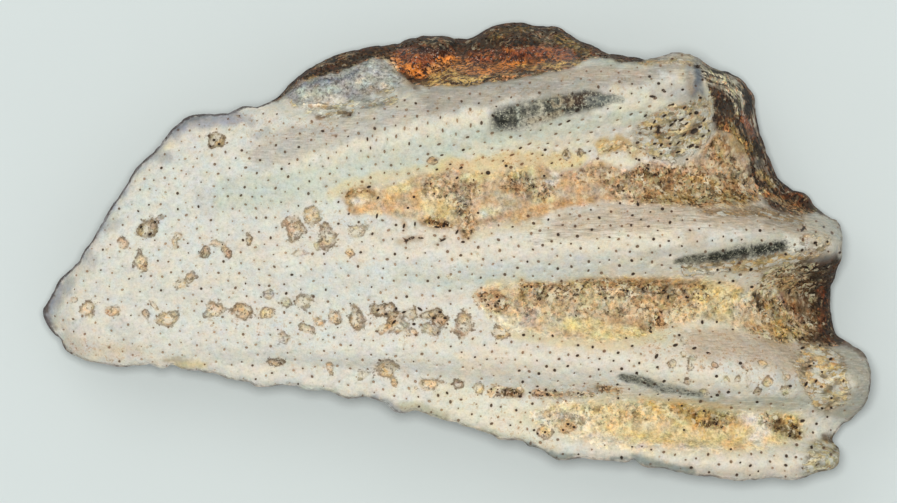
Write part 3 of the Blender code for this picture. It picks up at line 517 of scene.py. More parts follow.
boneStrokes = [
    ("darkBone", 6, 0.8, 276, 97, 290, 84, 306, 73, 324, 64, 345, 57, 372, 51, 396, 47),
    ("black", 3, 0.6, 300, 76, 320, 71, 345, 66, 366, 58),
    ("greyBrown", 2, 0.5, 314, 66, 340, 56, 352, 54), ("tan", 2, 0.4, 296, 86, 312, 76),
    ("darkBone", 8, 0.85, 400, 44, 430, 40, 470, 43, 490, 36, 530, 27, 560, 33, 584, 46),
    ("black", 5, 0.6, 440, 46, 470, 48), ("black", 6, 0.5, 486, 42, 520, 40, 548, 44),
    ("greyBrown", 3, 0.3, 424, 42, 446, 40), ("olive", 4, 0.3, 492, 36, 510, 30, 530, 28),
    ("olive", 5, 0.6, 560, 38, 572, 46, 584, 52), ("greyBrown", 4, 0.4, 536, 36, 552, 42),
    ("rust", 11, 0.95, 400, 60, 430, 57, 470, 60, 510, 58, 550, 56, 566, 58),
    ("amber", 5, 0.95, 392, 60, 406, 66, 424, 74), ("amber", 6.5, 0.9, 440, 62, 454, 58, 464, 63),
    ("darkBone", 5, 0.6, 410, 49, 430, 53, 448, 50), ("rust", 4, 0.8, 412, 58, 432, 62),
    ("rust", 4, 0.7, 470, 54, 510, 52, 550, 50),
    ("deepOrange", 6, 0.8, 430, 70, 450, 66, 480, 68, 500, 66),
    ("amber", 4, 0.8, 500, 66, 520, 62, 556, 62), ("gold", 5, 0.85, 434, 78, 450, 74, 462, 80, 484, 76),
    ("gold", 3, 0.7, 424, 84, 450, 84, 480, 82), ("amber", 4, 0.9, 470, 72, 500, 70, 530, 66),
    ("rust", 3, 0.8, 490, 62, 520, 58, 560, 56), ("gold", 3, 0.8, 520, 68, 540, 68, 560, 65, 578, 62),
    ("tan", 3, 0.8, 490, 80, 506, 76, 524, 76), ("deepOrange", 1.6, 0.8, 480, 76, 510, 70, 546, 69),
    ("black", 3, 0.5, 420, 50, 450, 52, 480, 52), ("ochre", 3, 0.5, 388, 60, 398, 70),
    ("umber", 2.5, 0.6, 396, 70, 406, 76, 412, 82), ("tan", 3, 0.5, 404, 80, 412, 86),
    ("darkBone", 4, 0.95, 606, 55, 622, 58, 640, 60),
    ("black", 2.5, 0.7, 706, 64, 718, 70, 734, 78, 745, 92, 750, 110),
    ("darkBone", 6, 0.75, 720, 100, 718, 112, 718, 128), ("darkBone", 5, 0.7, 730, 96, 736, 112, 738, 130),
    ("tan", 6, 0.7, 724, 128, 732, 134, 738, 142), ("olive", 5, 0.7, 742, 138, 746, 150),
    ("knobGrey", 8, 0.75, 706, 68, 720, 76, 736, 90, 742, 104),
    ("cream", 4, 0.7, 704, 84, 710, 96, 712, 112), ("cream", 2, 0.7, 712, 74, 724, 80, 738, 92, 743, 108),
    ("umber", 9, 0.7, 746, 118, 754, 134, 762, 156), ("rust", 4, 0.7, 744, 118, 754, 134),
    ("olive", 5, 0.6, 746, 140, 754, 152), ("black", 6, 0.8, 757, 152, 759, 162, 765, 173),
    ("slate", 2.5, 0.5, 757, 158, 760, 166), ("black", 5, 0.6, 750, 168, 758, 176),
    ("darkBone", 7, 0.7, 770, 176, 782, 190, 800, 200), ("olive", 4, 0.6, 762, 172, 774, 186),
    ("tan", 4, 0.5, 764, 192, 780, 200, 800, 208), ("pinkTan", 5, 0.6, 744, 186, 760, 190),
    ("darkBone", 4, 0.7, 766, 202, 784, 210, 806, 210), ("knobGrey", 4, 0.9, 818, 210, 830, 216, 838, 222),
    ("black", 2.5, 0.8, 810, 206, 824, 213), ("black", 11, 0.72, 826, 264, 824, 285, 826, 305, 830, 330),
    ("darkBone", 9, 0.8, 808, 266, 812, 292, 824, 322), ("umber", 8, 0.6, 800, 268, 803, 296, 815, 332),
    ("rust", 6, 0.5, 780, 296, 790, 304, 800, 320), ("tan", 6, 0.5, 768, 282, 784, 288, 790, 300),
    ("greyBrown", 4, 0.6, 762, 276, 790, 274, 806, 276), ("black", 3, 0.7, 756, 296, 762, 310),
    ("olive", 6, 0.6, 770, 304, 782, 318), ("black", 3, 0.6, 788, 290, 792, 298),
    ("rust", 4, 0.25, 822, 290, 828, 300), ("umber", 3, 0.8, 838, 338, 852, 346, 866, 356),
    ("umber", 4, 0.8, 800, 342, 816, 338, 832, 340), ("umber", 4, 0.8, 826, 436, 834, 440),
    ("umber", 4, 0.7, 806, 268, 822, 266, 836, 258), ("black", 3.6, 0.85, 808, 270, 824, 268, 837, 261),
    ("black", 4, 0.6, 816, 276, 812, 300), ("cream", 2.2, 0.6, 716, 82, 730, 94, 738, 112),
    ("olive", 4, 0.5, 728, 120, 736, 136), ("crumbTan", 2.5, 0.45, 772, 200, 790, 208, 806, 213),
    ("black", 3.5, 0.6, 764, 184, 776, 194),
]

# Marks outside the zones, by kind: half width, strength, then the line

otherMarks = {
    "matrix": [
        (6, 0.8, 494, 391, 520, 393), (5, 0.8, 536, 393, 560, 395), (4, 0.8, 568, 393, 590, 393),
        (4, 0.8, 598, 388, 616, 390), (6, 0.65, 602, 148, 618, 146, 634, 150),
    ],
    "gritty": [
        (9, 1.0, 494, 391, 560, 394, 616, 390), (7, 0.8, 346, 192, 356, 188),
        (13, 0.6, 436, 188, 470, 192), (7, 1.0, 428, 222, 446, 225),
        (9, 0.8, 456, 204, 468, 216, 470, 232), (12, 0.7, 512, 182, 545, 190),
        (8, 0.5, 575, 176, 610, 172), (13, 1.0, 614, 184, 650, 176, 700, 178),
        (13, 0.9, 640, 196, 700, 196, 752, 192), (10, 1.0, 480, 300, 502, 304),
        (10, 0.9, 524, 290, 600, 288, 700, 294), (12, 0.5, 526, 308, 600, 306, 690, 310),
        (11, 0.9, 640, 292, 676, 300), (9, 1.0, 652, 314, 666, 326), (12, 0.4, 700, 300, 740, 304),
        (12, 0.4, 552, 418, 620, 414, 690, 408, 730, 414), (9, 0.9, 700, 416, 722, 424),
        (11, 1.0, 768, 418, 800, 432), (9, 0.8, 755, 335, 790, 340),
        (16, 1.0, 760, 278, 790, 274, 812, 284), (14, 0.7, 716, 150, 730, 176, 748, 190),
        (16, 1.0, 764, 304, 790, 318, 804, 338), (9, 1.0, 814, 270, 816, 300, 818, 340),
        (24, 0.55, 655, 345, 720, 352, 780, 378), (9, 0.7, 70, 345, 110, 352, 150, 352),
        (12, 0.6, 236, 118, 262, 128, 330, 128), (14, 0.5, 500, 420, 540, 440),
        (8, 0.7, 700, 268, 740, 266, 790, 258), (8, 0.7, 450, 166, 500, 160, 575, 160),
        (14, 0.35, 300, 245, 330, 215, 360, 225), (14, 0.35, 430, 110, 520, 96, 640, 80),
        (9, 0.4, 560, 222, 690, 214), (18, 0.35, 215, 320, 330, 330, 470, 330),
        (12, 0.4, 440, 390, 530, 410), (9, 0.7, 600, 148, 620, 146, 640, 152),
    ],
    "streaky": [
        (16, 0.6, 430, 95, 520, 84, 620, 72, 690, 66), (13, 0.6, 250, 160, 350, 124, 430, 105),
        (17, 1.0, 540, 232, 640, 220, 720, 214, 830, 224), (15, 0.6, 690, 340, 745, 344, 800, 368),
        (8, 0.7, 600, 386, 700, 400, 800, 404), (9, 0.7, 846, 352, 864, 368, 868, 385, 858, 408),
        (13, 0.3, 300, 90, 340, 82, 390, 78),
    ],
    "fibre": [
        (13, 1.0, 712, 72, 734, 86, 746, 104, 752, 122), (12, 0.4, 752, 122, 764, 158, 780, 182),
    ],
    "crumble": [
        (8, 0.7, 296, 98, 310, 106, 330, 112, 348, 110), (6, 0.7, 356, 90, 374, 88, 388, 90),
        (5, 0.6, 350, 104, 378, 104, 396, 100), (9, 0.5, 806, 240, 822, 240, 812, 254),
        (9, 0.9, 690, 268, 730, 264, 800, 256), (4, 0.5, 640, 62, 665, 60, 700, 64),
        (5, 0.5, 700, 210, 760, 212, 800, 222),
    ],
}

wearPatches = [  # pixel, pixel and half width from point to point
    [(502, 120, 13.5), (514, 117, 14.5), (530, 113, 14), (560, 106, 12), (588, 101, 10), (622, 99, 3)],
    [(676, 262, 4), (700, 259, 6.5), (730, 254, 8.5), (760, 249, 9), (786, 246, 6)],
    [(622, 376, 3), (640, 380, 6), (664, 387, 6), (700, 395, 3)],
]
wearStrokes = [
    ("charcoal", 15, 1.0, 494, 120, 510, 118), ("charcoal", 14, 1.0, 552, 106, 592, 99),
    ("charcoal", 13, 0.8, 560, 108, 600, 99), ("umber", 7, 0.65, 566, 102, 592, 98),
    ("wornGrey", 15, 0.9, 522, 114, 550, 110), ("teal", 6, 0.6, 590, 101, 624, 99),
    ("sage", 1.4, 0.7, 517, 106, 518, 116, 519, 127), ("cream", 1.8, 0.6, 526, 104, 528, 114),
    ("cream", 1.7, 0.7, 540, 101, 543, 110, 539, 116), ("knobGrey", 3, 0.8, 522, 122, 532, 118, 545, 116),
    ("crumbTan", 4, 0.6, 530, 122, 548, 118, 560, 114),
    ("crumbTan", 1.6, 0.9, 552, 97, 558, 96, 562, 101, 560, 106, 554, 107, 551, 102),
    ("mossGrey", 2, 0.8, 537, 98, 540, 112), ("crumbTan", 1.5, 0.7, 568, 96, 572, 101, 570, 106),
    ("mossGrey", 1.6, 0.7, 532, 104, 546, 100), ("wornGrey", 7, 0.9, 676, 262, 700, 259),
    ("charcoal", 7, 1.0, 712, 258, 740, 254, 780, 247), ("teal", 8, 0.7, 622, 376, 660, 386, 700, 395),
    ("wornGrey", 5, 0.7, 624, 377, 650, 384),
]

# Pits in the crown: pixel, pixel, half length, half width, turn in degrees, depth in millimetres, colour

craters = [
    (217, 140, 9, 8, 0, 0.22, "olive"), (147, 229, 12, 9, 35, 0.24, "olive"),
    (160, 218, 5, 3, 30, 0.08, "greyBrown"), (123, 243, 6, 6, 0, 0.12, "orange"),
    (178, 236, 4, 4, 10, 0.12, "rosyBrown"), (175, 244, 3, 6, 15, 0.08, "crumbTan"),
    (141, 263, 6, 8, 0, 0.16, "ochre"), (206, 252, 5, 7, -30, 0.12, "tan"),
    (217, 244, 10, 3, 0, 0.08, "pinkTan"), (227, 252, 4, 6, 20, 0.12, "tan"),
    (249, 240, 4, 7, 0, 0.1, "greyBrown"), (181, 284, 8, 5, 15, 0.12, "ochre"),
    (191, 278, 6, 4, 25, 0.14, "rosyBrown"), (74, 300, 4, 3, 0, 0.08, "orange"),
    (87, 309, 9, 7, 40, 0.18, "ochre"), (112, 311, 8, 5, 0, 0.15, "orange"),
    (146, 314, 5, 4, -30, 0.15, "greyBrown"), (154, 306, 6, 2, -50, 0.08, "rosyBrown"),
    (168, 318, 11, 8, 15, 0.16, "crumbTan"), (214, 310, 9, 7, 20, 0.14, "ochre"),
    (243, 312, 12, 9, 0, 0.22, "rosyBrown"), (266, 312, 8, 6, 0, 0.14, "ochre"),
    (270, 294, 5, 6, 0, 0.08, "steel"), (286, 302, 6, 6, 0, 0.14, "mossGrey"),
    (303, 301, 8, 8, 0, 0.14, "mossGrey"), (307, 329, 8, 4, -25, 0.12, "ochre"),
    (319, 322, 5, 4, -35, 0.12, "orange"), (335, 318, 6, 8, 20, 0.12, "rosyBrown"),
    (357, 320, 8, 11, 15, 0.18, "rosyBrown"), (295, 229, 10, 11, 30, 0.2, "rosyBrown"),
    (312, 216, 9, 10, 0, 0.2, "crumbTan"), (328, 238, 9, 12, 0, 0.2, "rosyBrown"),
    (358, 231, 10, 7, 0, 0.08, "crumbTan"), (350, 252, 5, 5, 0, 0.12, "ochre"),
    (300, 253, 7, 3, 10, 0.06, "pinkTan"), (317, 247, 2, 6, 20, 0.06, "mossGrey"),
    (433, 161, 8, 3, 12, 0.05, "tan"), (383, 309, 15, 6, 8, 0.2, "tan"), (394, 318, 8, 6, 40, 0.22, "tan"),
    (411, 314, 8, 7, 0, 0.14, "rosyBrown"), (398, 325, 10, 8, 20, 0.2, "crumbTan"),
    (385, 329, 8, 5, 0, 0.14, "orange"), (432, 314, 14, 4, 10, 0.22, "tan"),
    (440, 320, 9, 6, 0, 0.18, "tan"), (430, 329, 10, 5, -10, 0.16, "crumbTan"),
    (413, 332, 6, 4, 0, 0.12, "ochre"), (463, 324, 9, 13, 5, 0.2, "rosyBrown"),
    (502, 332, 8, 8, 0, 0.14, "ochre"), (496, 300, 13, 10, 10, 0.18, "rosyBrown"),
    (283, 338, 6, 6, 0, 0.06, "crumbTan"), (275, 362, 11, 4, 0, 0.14, "tan"),
    (330, 367, 4, 7, 15, 0.1, "orange"), (387, 369, 10, 10, 0, 0.2, "ochre"),
    (386, 368, 5, 5, 0, 0.1, "orange"), (394, 383, 3, 5, 20, 0.1, "orange"),
    (363, 375, 6, 4, 20, 0.1, "crumbTan"), (430, 384, 13, 6, 8, 0.18, "ochre"),
    (458, 384, 5, 5, 0, 0.14, "greyBrown"), (478, 388, 5, 6, 0, 0.12, "ochre"),
    (545, 432, 7, 8, 0, 0.16, "ochre"), (568, 426, 8, 8, 0, 0.16, "orange"),
    (580, 153, 4, 4, 0, 0.16, "greyBrown"), (566, 155, 4, 5, 20, 0.14, "greyBrown"),
    (684, 340, 3, 4, 0, 0.06, "mossGrey"), (683, 354, 3.5, 3, 0, 0.06, "crumbTan"),
    (693, 357, 4, 3, 0, 0.06, "crumbTan"), (671, 364, 4, 4, 0, 0.07, "mossGrey"),
    (690, 366, 3.5, 4.5, 0, 0.07, "mossGrey"), (702, 364, 3, 5, 0, 0.06, "pinkTan"),
    (714, 365, 4, 3, -20, 0.07, "greyBrown"), (687, 382, 3.5, 3.5, 0, 0.06, "tan"),
    (726, 380, 3, 6, 20, 0.05, "pinkTan"), (746, 366, 5, 4, 0, 0.07, "rosyBrown"),
    (737, 379, 3.5, 3.5, 0, 0.07, "tan"), (748, 381, 3, 6, 0, 0.06, "pinkTan"),
    (768, 382, 5, 4, -20, 0.08, "crumbTan"), (762, 364, 4, 3.5, 0, 0.06, "crumbTan"),
    (786, 377, 5, 3.5, 0, 0.07, "crumbTan"), (757, 392, 3.5, 5, 0, 0.07, "tan"),
    (785, 391, 6, 5, 0, 0.06, "mossGrey"), (704, 392, 5, 4, 0, 0.06, "mossGrey"),
]

# Where pores hardly show: half width, how much they fade, then the line

quietPores = [
    (15, 0.55, 430, 88, 520, 80, 640, 70, 690, 74), (16, 0.85, 690, 344, 745, 348, 790, 362),
    (22, 0.7, 660, 352, 720, 370, 800, 386), (12, 0.6, 700, 213, 760, 216, 806, 224),
    (14, 0.8, 840, 350, 862, 366, 867, 384, 856, 408), (10, 0.5, 740, 404, 806, 402),
    (40, 0.25, 60, 300, 120, 330, 200, 340), (10, 0.4, 180, 130, 230, 120),
    (18, 0.35, 560, 140, 640, 122, 700, 106), (14, 0.3, 560, 190, 700, 186),
]

# Deep little pits and slots, cut like pores: pixel, pixel, half length, half width, turn in degrees

deepPits = [
    (488, 173, 2.8, 2.5, 0), (506, 166, 1.9, 1.7, 0), (545, 150, 1.9, 1.6, 20), (618, 186, 1.8, 1.8, 0),
    (623, 191, 1.6, 1.4, 0), (648, 165, 1.7, 1.3, 0), (655, 175, 2.6, 1.9, 20), (648, 169, 1.6, 1.4, 0),
    (660, 182, 1.8, 1.4, 30), (636, 159, 1.4, 1.2, 0), (528, 180, 2.2, 1.4, 70), (533, 187, 1.8, 1.4, 40),
    (544, 176, 1.6, 1.3, 0), (466, 218, 1.7, 1.5, 0), (446, 196, 2.4, 1.3, 45), (434, 194, 1.8, 1.5, 0),
    (414, 197, 1.8, 1.6, 0), (408, 208, 1.6, 1.3, 0), (431, 184, 1.5, 1.3, 0), (457, 178, 2.2, 1.2, 40),
    (378, 198, 2.2, 1.3, 60), (369, 187, 2.6, 1.5, 15), (461, 168, 2.4, 1.2, 20), (377, 216, 3.2, 1.2, 80),
    (404, 226, 3.0, 1.4, 75), (412, 238, 3.4, 1.7, 15), (421, 238, 3.4, 1.0, -5), (415, 224, 2.6, 1.2, 85),
    (408, 240, 5.0, 1.3, 22), (443, 240, 4.0, 1.2, 25), (457, 232, 3.2, 1.3, 60), (437, 227, 3.4, 1.4, -5),
    (444, 226, 2.4, 1.4, 10), (463, 242, 2.4, 1.4, 0), (478, 213, 1.6, 1.3, 0), (485, 300, 2.0, 1.7, 20),
    (488, 305, 1.7, 1.5, 0), (495, 306, 1.8, 1.5, 0), (499, 301, 1.7, 1.5, 0), (497, 297, 1.5, 1.3, 0),
    (539, 299, 2.3, 2.0, 0), (542, 293, 1.6, 1.5, 0), (557, 298, 1.7, 1.5, 0), (531, 287, 1.7, 1.5, 0),
    (524, 287, 1.6, 1.3, 0), (577, 290, 2.0, 1.6, 0), (577, 295, 1.6, 1.4, 0), (605, 298, 2.0, 1.6, 0),
    (600, 294, 1.7, 1.4, 0), (627, 291, 2.2, 1.7, 10), (643, 289, 2.2, 1.7, 60), (648, 285, 1.6, 1.5, 0),
    (664, 291, 2.8, 2.0, 10), (668, 297, 3.2, 1.3, 80), (687, 297, 2.6, 1.8, 10), (694, 294, 1.5, 1.3, 0),
    (650, 328, 2.2, 1.6, 60), (656, 320, 1.5, 1.3, 0), (733, 281, 1.8, 1.5, 0), (752, 287, 2.2, 1.6, 10),
    (784, 302, 2.0, 1.8, 0), (760, 310, 2.4, 1.4, 60), (755, 296, 3.4, 1.3, 75), (790, 292, 3.6, 1.5, 75),
    (800, 282, 2.0, 1.5, 0), (716, 424, 2.2, 1.8, 0), (722, 427, 1.9, 1.6, 0), (714, 419, 1.5, 1.4, 0),
    (684, 430, 1.5, 1.3, 0), (704, 411, 1.6, 1.4, 0), (803, 421, 3.0, 1.8, 10), (790, 436, 2.2, 1.5, 20),
    (781, 428, 1.8, 1.5, 0), (796, 428, 1.8, 1.5, 30), (757, 402, 1.9, 1.6, 0), (568, 424, 2.0, 1.6, 0),
    (574, 427, 1.7, 1.4, 0), (563, 430, 1.5, 1.3, 0), (545, 432, 1.6, 1.4, 0), (534, 430, 1.6, 1.4, 30),
    (697, 67, 2.8, 2.3, 0), (702, 72, 1.6, 1.4, 0), (658, 84, 1.9, 1.7, 0), (649, 77, 1.8, 1.5, 0),
    (652, 97, 4.0, 1.5, -5), (664, 92, 1.8, 1.4, 0), (672, 105, 2.2, 1.2, 20), (684, 108, 2.6, 1.3, 40),
    (696, 113, 2.9, 2.2, 0), (700, 98, 1.8, 1.5, 0), (717, 103, 5.0, 1.8, 80), (714, 118, 5.0, 1.3, 85),
    (694, 131, 5.5, 3.0, 32), (700, 127, 3.0, 1.4, 30), (691, 146, 4.4, 1.8, 30), (697, 147, 2.6, 1.4, 0),
    (658, 130, 6.0, 1.6, 82), (654, 122, 2.6, 1.2, 60), (661, 145, 2.4, 1.5, 50), (671, 125, 3.4, 1.2, 40),
    (675, 121, 2.4, 1.2, 40), (669, 138, 2.6, 1.4, 45), (670, 144, 1.8, 1.5, 0), (681, 120, 3.6, 1.4, 35),
    (684, 135, 3.4, 1.2, 40), (651, 128, 3.0, 1.2, 75), (654, 158, 2.0, 1.4, 0), (678, 152, 3.4, 1.2, 20),
    (686, 124, 3.0, 1.1, 40), (704, 120, 3.0, 1.3, 50), (664, 116, 2.8, 1.2, 30), (690, 114, 2.2, 1.2, 40),
    (645, 116, 2.4, 1.3, 40), (678, 143, 3.2, 1.1, 45), (703, 136, 2.6, 1.2, 35), (815, 243, 2.4, 2.0, 0),
    (803, 229, 4.5, 1.5, 50), (740, 363, 2.2, 1.9, 0), (675, 345, 3.2, 1.8, 20), (656, 356, 3.4, 1.8, 60),
    (694, 348, 2.8, 1.6, 20), (708, 353, 2.8, 1.5, -20), (716, 376, 2.0, 1.8, 0), (679, 335, 1.7, 1.5, 0),
    (717, 395, 2.2, 1.7, 0), (728, 392, 2.2, 1.7, 20), (657, 367, 1.8, 1.5, 0), (790, 386, 2.2, 1.6, 0),
    (806, 384, 3.5, 1.6, 60), (810, 366, 2.4, 1.3, 30), (831, 359, 2.4, 1.6, 30), (803, 348, 3.0, 1.5, 20),
    (816, 381, 2.4, 1.4, 50), (822, 372, 1.6, 1.3, 0), (396, 309, 2.4, 1.6, 60), (404, 312, 2.6, 1.4, 20),
    (414, 324, 2.2, 1.6, 0), (394, 322, 3.4, 1.4, 45), (420, 309, 3.6, 1.5, -35), (434, 318, 2.6, 1.6, 0),
    (440, 312, 2.4, 1.4, 0), (445, 318, 2.2, 1.4, 0), (378, 310, 2.4, 1.3, 40), (386, 314, 2.2, 1.3, 0),
    (214, 140, 2.0, 1.6, 0), (219, 144, 1.8, 1.5, 0), (150, 234, 2.6, 1.5, 40), (141, 227, 2.0, 1.3, 60),
    (155, 222, 1.8, 1.3, 0), (505, 390, 1.7, 1.4, 0), (514, 393, 1.6, 1.3, 0), (547, 394, 1.7, 1.4, 0),
    (497, 392, 1.5, 1.3, 0), (578, 393, 1.5, 1.3, 0),
]
print("shape and colour notes read")


def strokeCover(u, v, line, half, hard=0.55):
    # 1 on the line, 0 past its half width; half may change along the line
    places = np.column_stack([u, v])
    points = np.asarray(line, dtype=float).reshape(-1, 2)
    widths = np.broadcast_to(np.asarray(half, dtype=float), (len(points),))
    best = np.full(len(places), 9.0)
    for a, b, wideA, wideB in zip(points[:-1], points[1:], widths[:-1], widths[1:], strict=True):
        run = b - a
        share = np.clip(((places - a) @ run) / max(run @ run, 1e-9), 0.0, 1.0)
        away = np.linalg.norm(places - a - share[:, None] * run, axis=1)
        best = np.minimum(best, away / (wideA + (wideB - wideA) * share))
    return 1.0 - smooth(best, hard, 1.0 + 0.6 * (1.0 - hard))


def zoneCover(u, v, upper, lower, soft):
    upper, lower = (np.array(line, dtype=float).reshape(-1, 2) for line in (upper, lower))
    top = np.interp(u, upper[:, 0], upper[:, 1])
    low = np.interp(u, lower[:, 0], lower[:, 1])
    cover = smooth(v - top, -soft, soft) * smooth(low - v, -soft, soft)
    ends = 1.5 * soft
    return cover * smooth(u - upper[0, 0], -ends, ends) * smooth(lower[-1, 0] - u, -ends, ends)


def craterReach(u, v, ragged, crater):
    cu, cv, halfLong, halfWide, turn = crater[:5]
    c, s = math.cos(math.radians(turn)), math.sin(math.radians(turn))
    along, across = (u - cu) * c - (v - cv) * s, (u - cu) * s + (v - cv) * c
    return np.hypot(along / halfLong, across / halfWide) * (1.0 + 0.22 * ragged)


def paintOver(colours, name, cover):
    return colours + (np.asarray(palette[name]) - colours) * cover[:, None]


def brush(colours, strokes, u, v, share=1.0, hard=0.55):
    for name, half, strength, *line in strokes:
        colours = paintOver(colours, name, share * strength * strokeCover(u, v, line, half, hard))
    return colours


ringStrength = {
    "umber": 1.0, "tan": 0.95, "greyBrown": 0.9, "olive": 0.85, "mossGrey": 0.7, "black": 1.0,
    "pinkTan": 0.35, "steel": 0.5, "rosyBrown": 0.8, "ochre": 0.75,
}
markNames = ("matrix", "bone", "wear", "rust", "crumble", "fibre", "streaky", "gritty", "chip",
             "hollow", "reach", "ring")
relief = {  # millimetres, or pixels for the wobble
    "wobble": 3.0, "fineWobble": 2.2, "wobbleAcross": 2.6, "fineWobbleAcross": 2.0, "strokeWobble": 0.45,
    "thinStroke": 7, "craterDepth": 0.8, "craterLip": 0.025, "craterTint": 0.66,
    "scarBeyond": 2.6, "scarRipple": 0.05, "waves": 0.016, "ripples": 0.007,
    "mud": 0.012, "grit": 0.04, "mudSink": 0.05, "crags": 0.10, "crumble": 0.12, "fibres": 0.07,
    "streaks": 0.03, "wearSink": 0.07, "wearRough": 0.03,
}
rustColours = ("rust", "amber", "deepOrange", "gold", "ochre")


def pittedCrown(height, colours, marks, u, v, ragged):
    # worn pits: a sunken floor, a faint lip, and how near and how dark the nearest pit's ring is
    nearest = np.full(len(u), 3.0)
    for crater in craters:
        deep, name = crater[5:]
        reach = craterReach(u, v, ragged, crater)
        height = height - deep * (1.0 - smooth(reach, 0.5, 1.08)) * relief["craterDepth"]
        height = height + relief["craterLip"] * np.exp(-(((reach - 1.1) / 0.14) ** 2))
        colours = paintOver(colours, name, relief["craterTint"] * (1.0 - smooth(reach, 0.8, 1.05)))
        marks["ring"] = np.where(reach < nearest, ringStrength.get(name, 0.6), marks["ring"])
        nearest = np.minimum(reach, nearest)
    marks["reach"] = nearest
    return height, colours


def bareBone(height, places, u, rimGap):
    # past the crown's edge: the scar of the broken face, and the lumpy bone round it
    beyond = beyondEdge(places)
    edgeDrop = 0.3 * smooth(beyond, -0.4, 0.0)
    crownPart = height - edgeDrop - crown["faceSlope"] * np.maximum(beyond, 0.0)
    within = smooth(u, crown["scarStart"], crown["scarStart"] + crown["scarFade"])
    within = within * (1.0 - smooth(u, crown["scarEnd"] - crown["scarFade"], crown["scarEnd"]))
    scar = crown["scarHeight"] - crown["scarSlope"] * np.maximum(beyond, 0.0)
    scar = scar - relief["scarBeyond"] * (1.0 - within)
    scar = scar + relief["scarRipple"] * np.sin(beyond * 9.0 + rough(places, 1.3, 38))
    rise = 1.0 - (1.0 - np.clip(rimGap / crown["boneWidth"], 0.0, 1.0)) ** 2
    rim = np.asarray(crown["boneRim"])
    bone = np.interp(u, rim[:, 0], rim[:, 1]) + crown["boneRise"] * rise
    bone = bone + crown["boneLump"] * (rough(places, 1.7, 3) + 0.6 * rough(places, 0.75, 4))
    bone = np.where(beyond > -0.3, bone, 0.0)
    return softMax(softMax(crownPart, scar * (beyond > -0.3), 0.05), bone, 0.08)


def fineRelief(height, places, u, v, rimGap, marks):
    # grains of matrix, craggy bone, slots in the crumbling ridge, fibres round its end, wear
    solid = 1.0 - np.clip(marks["bone"] + marks["matrix"] + marks["crumble"], 0.0, 1.0)
    height = height + relief["waves"] * rough(places, 1.3, 41)
    height = height + relief["ripples"] * solid * rough(places, 0.35, 42)
    slanted = np.column_stack([(u * 0.75 - v * 0.66) * 0.45, u * 0.66 + v * 0.75]) / perMm
    pits = rough(slanted, 0.24, 47) + 0.4 * rough(places, 0.14, 49)
    grit = rough(places, 0.36, 43) + 0.8 * rough(places, 0.17, 44)
    crags = rough(places, 0.55, 45) + 0.8 * rough(places, 0.22, 46)
    mudRough = relief["mud"] + relief["grit"] * marks["gritty"]
    height = height + marks["matrix"] * (mudRough * grit - relief["mudSink"])
    height = height + marks["bone"] * relief["crags"] * crags * smooth(rimGap, -0.2, 0.5)
    height = height + marks["crumble"] * relief["crumble"] * np.minimum(pits, 0.5)
    lanes = np.column_stack([rimGap * 5.0, (v + 0.4 * u) / perMm * 0.5])
    height = height + marks["fibre"] * relief["fibres"] * rough(lanes, 1.0, 39)
    height = height + relief["streaks"] * marks["streaky"] * rough(places * (0.35, 1.0), 0.16, 50)
    height = height - relief["wearSink"] * smooth(marks["wear"], 0.3, 0.8)
    height = height + relief["wearRough"] * marks["wear"] * rough(places, 0.22, 48)
    # painted shade: how much the colour darkens in the low spots of the crumble pits, the bone crags and the
    # gritty mud
    hollow = marks["crumble"] * 0.8 * smooth(-pits, 0.45, 0.95)
    hollow = hollow + marks["bone"] * 0.8 * smooth(-crags, 0.3, 1.0)
    hollow = hollow + marks["matrix"] * 0.6 * marks["gritty"] * smooth(-grit, 0.6, 1.15)
    marks["hollow"] = np.clip(hollow, 0.0, 1.0)
    return height


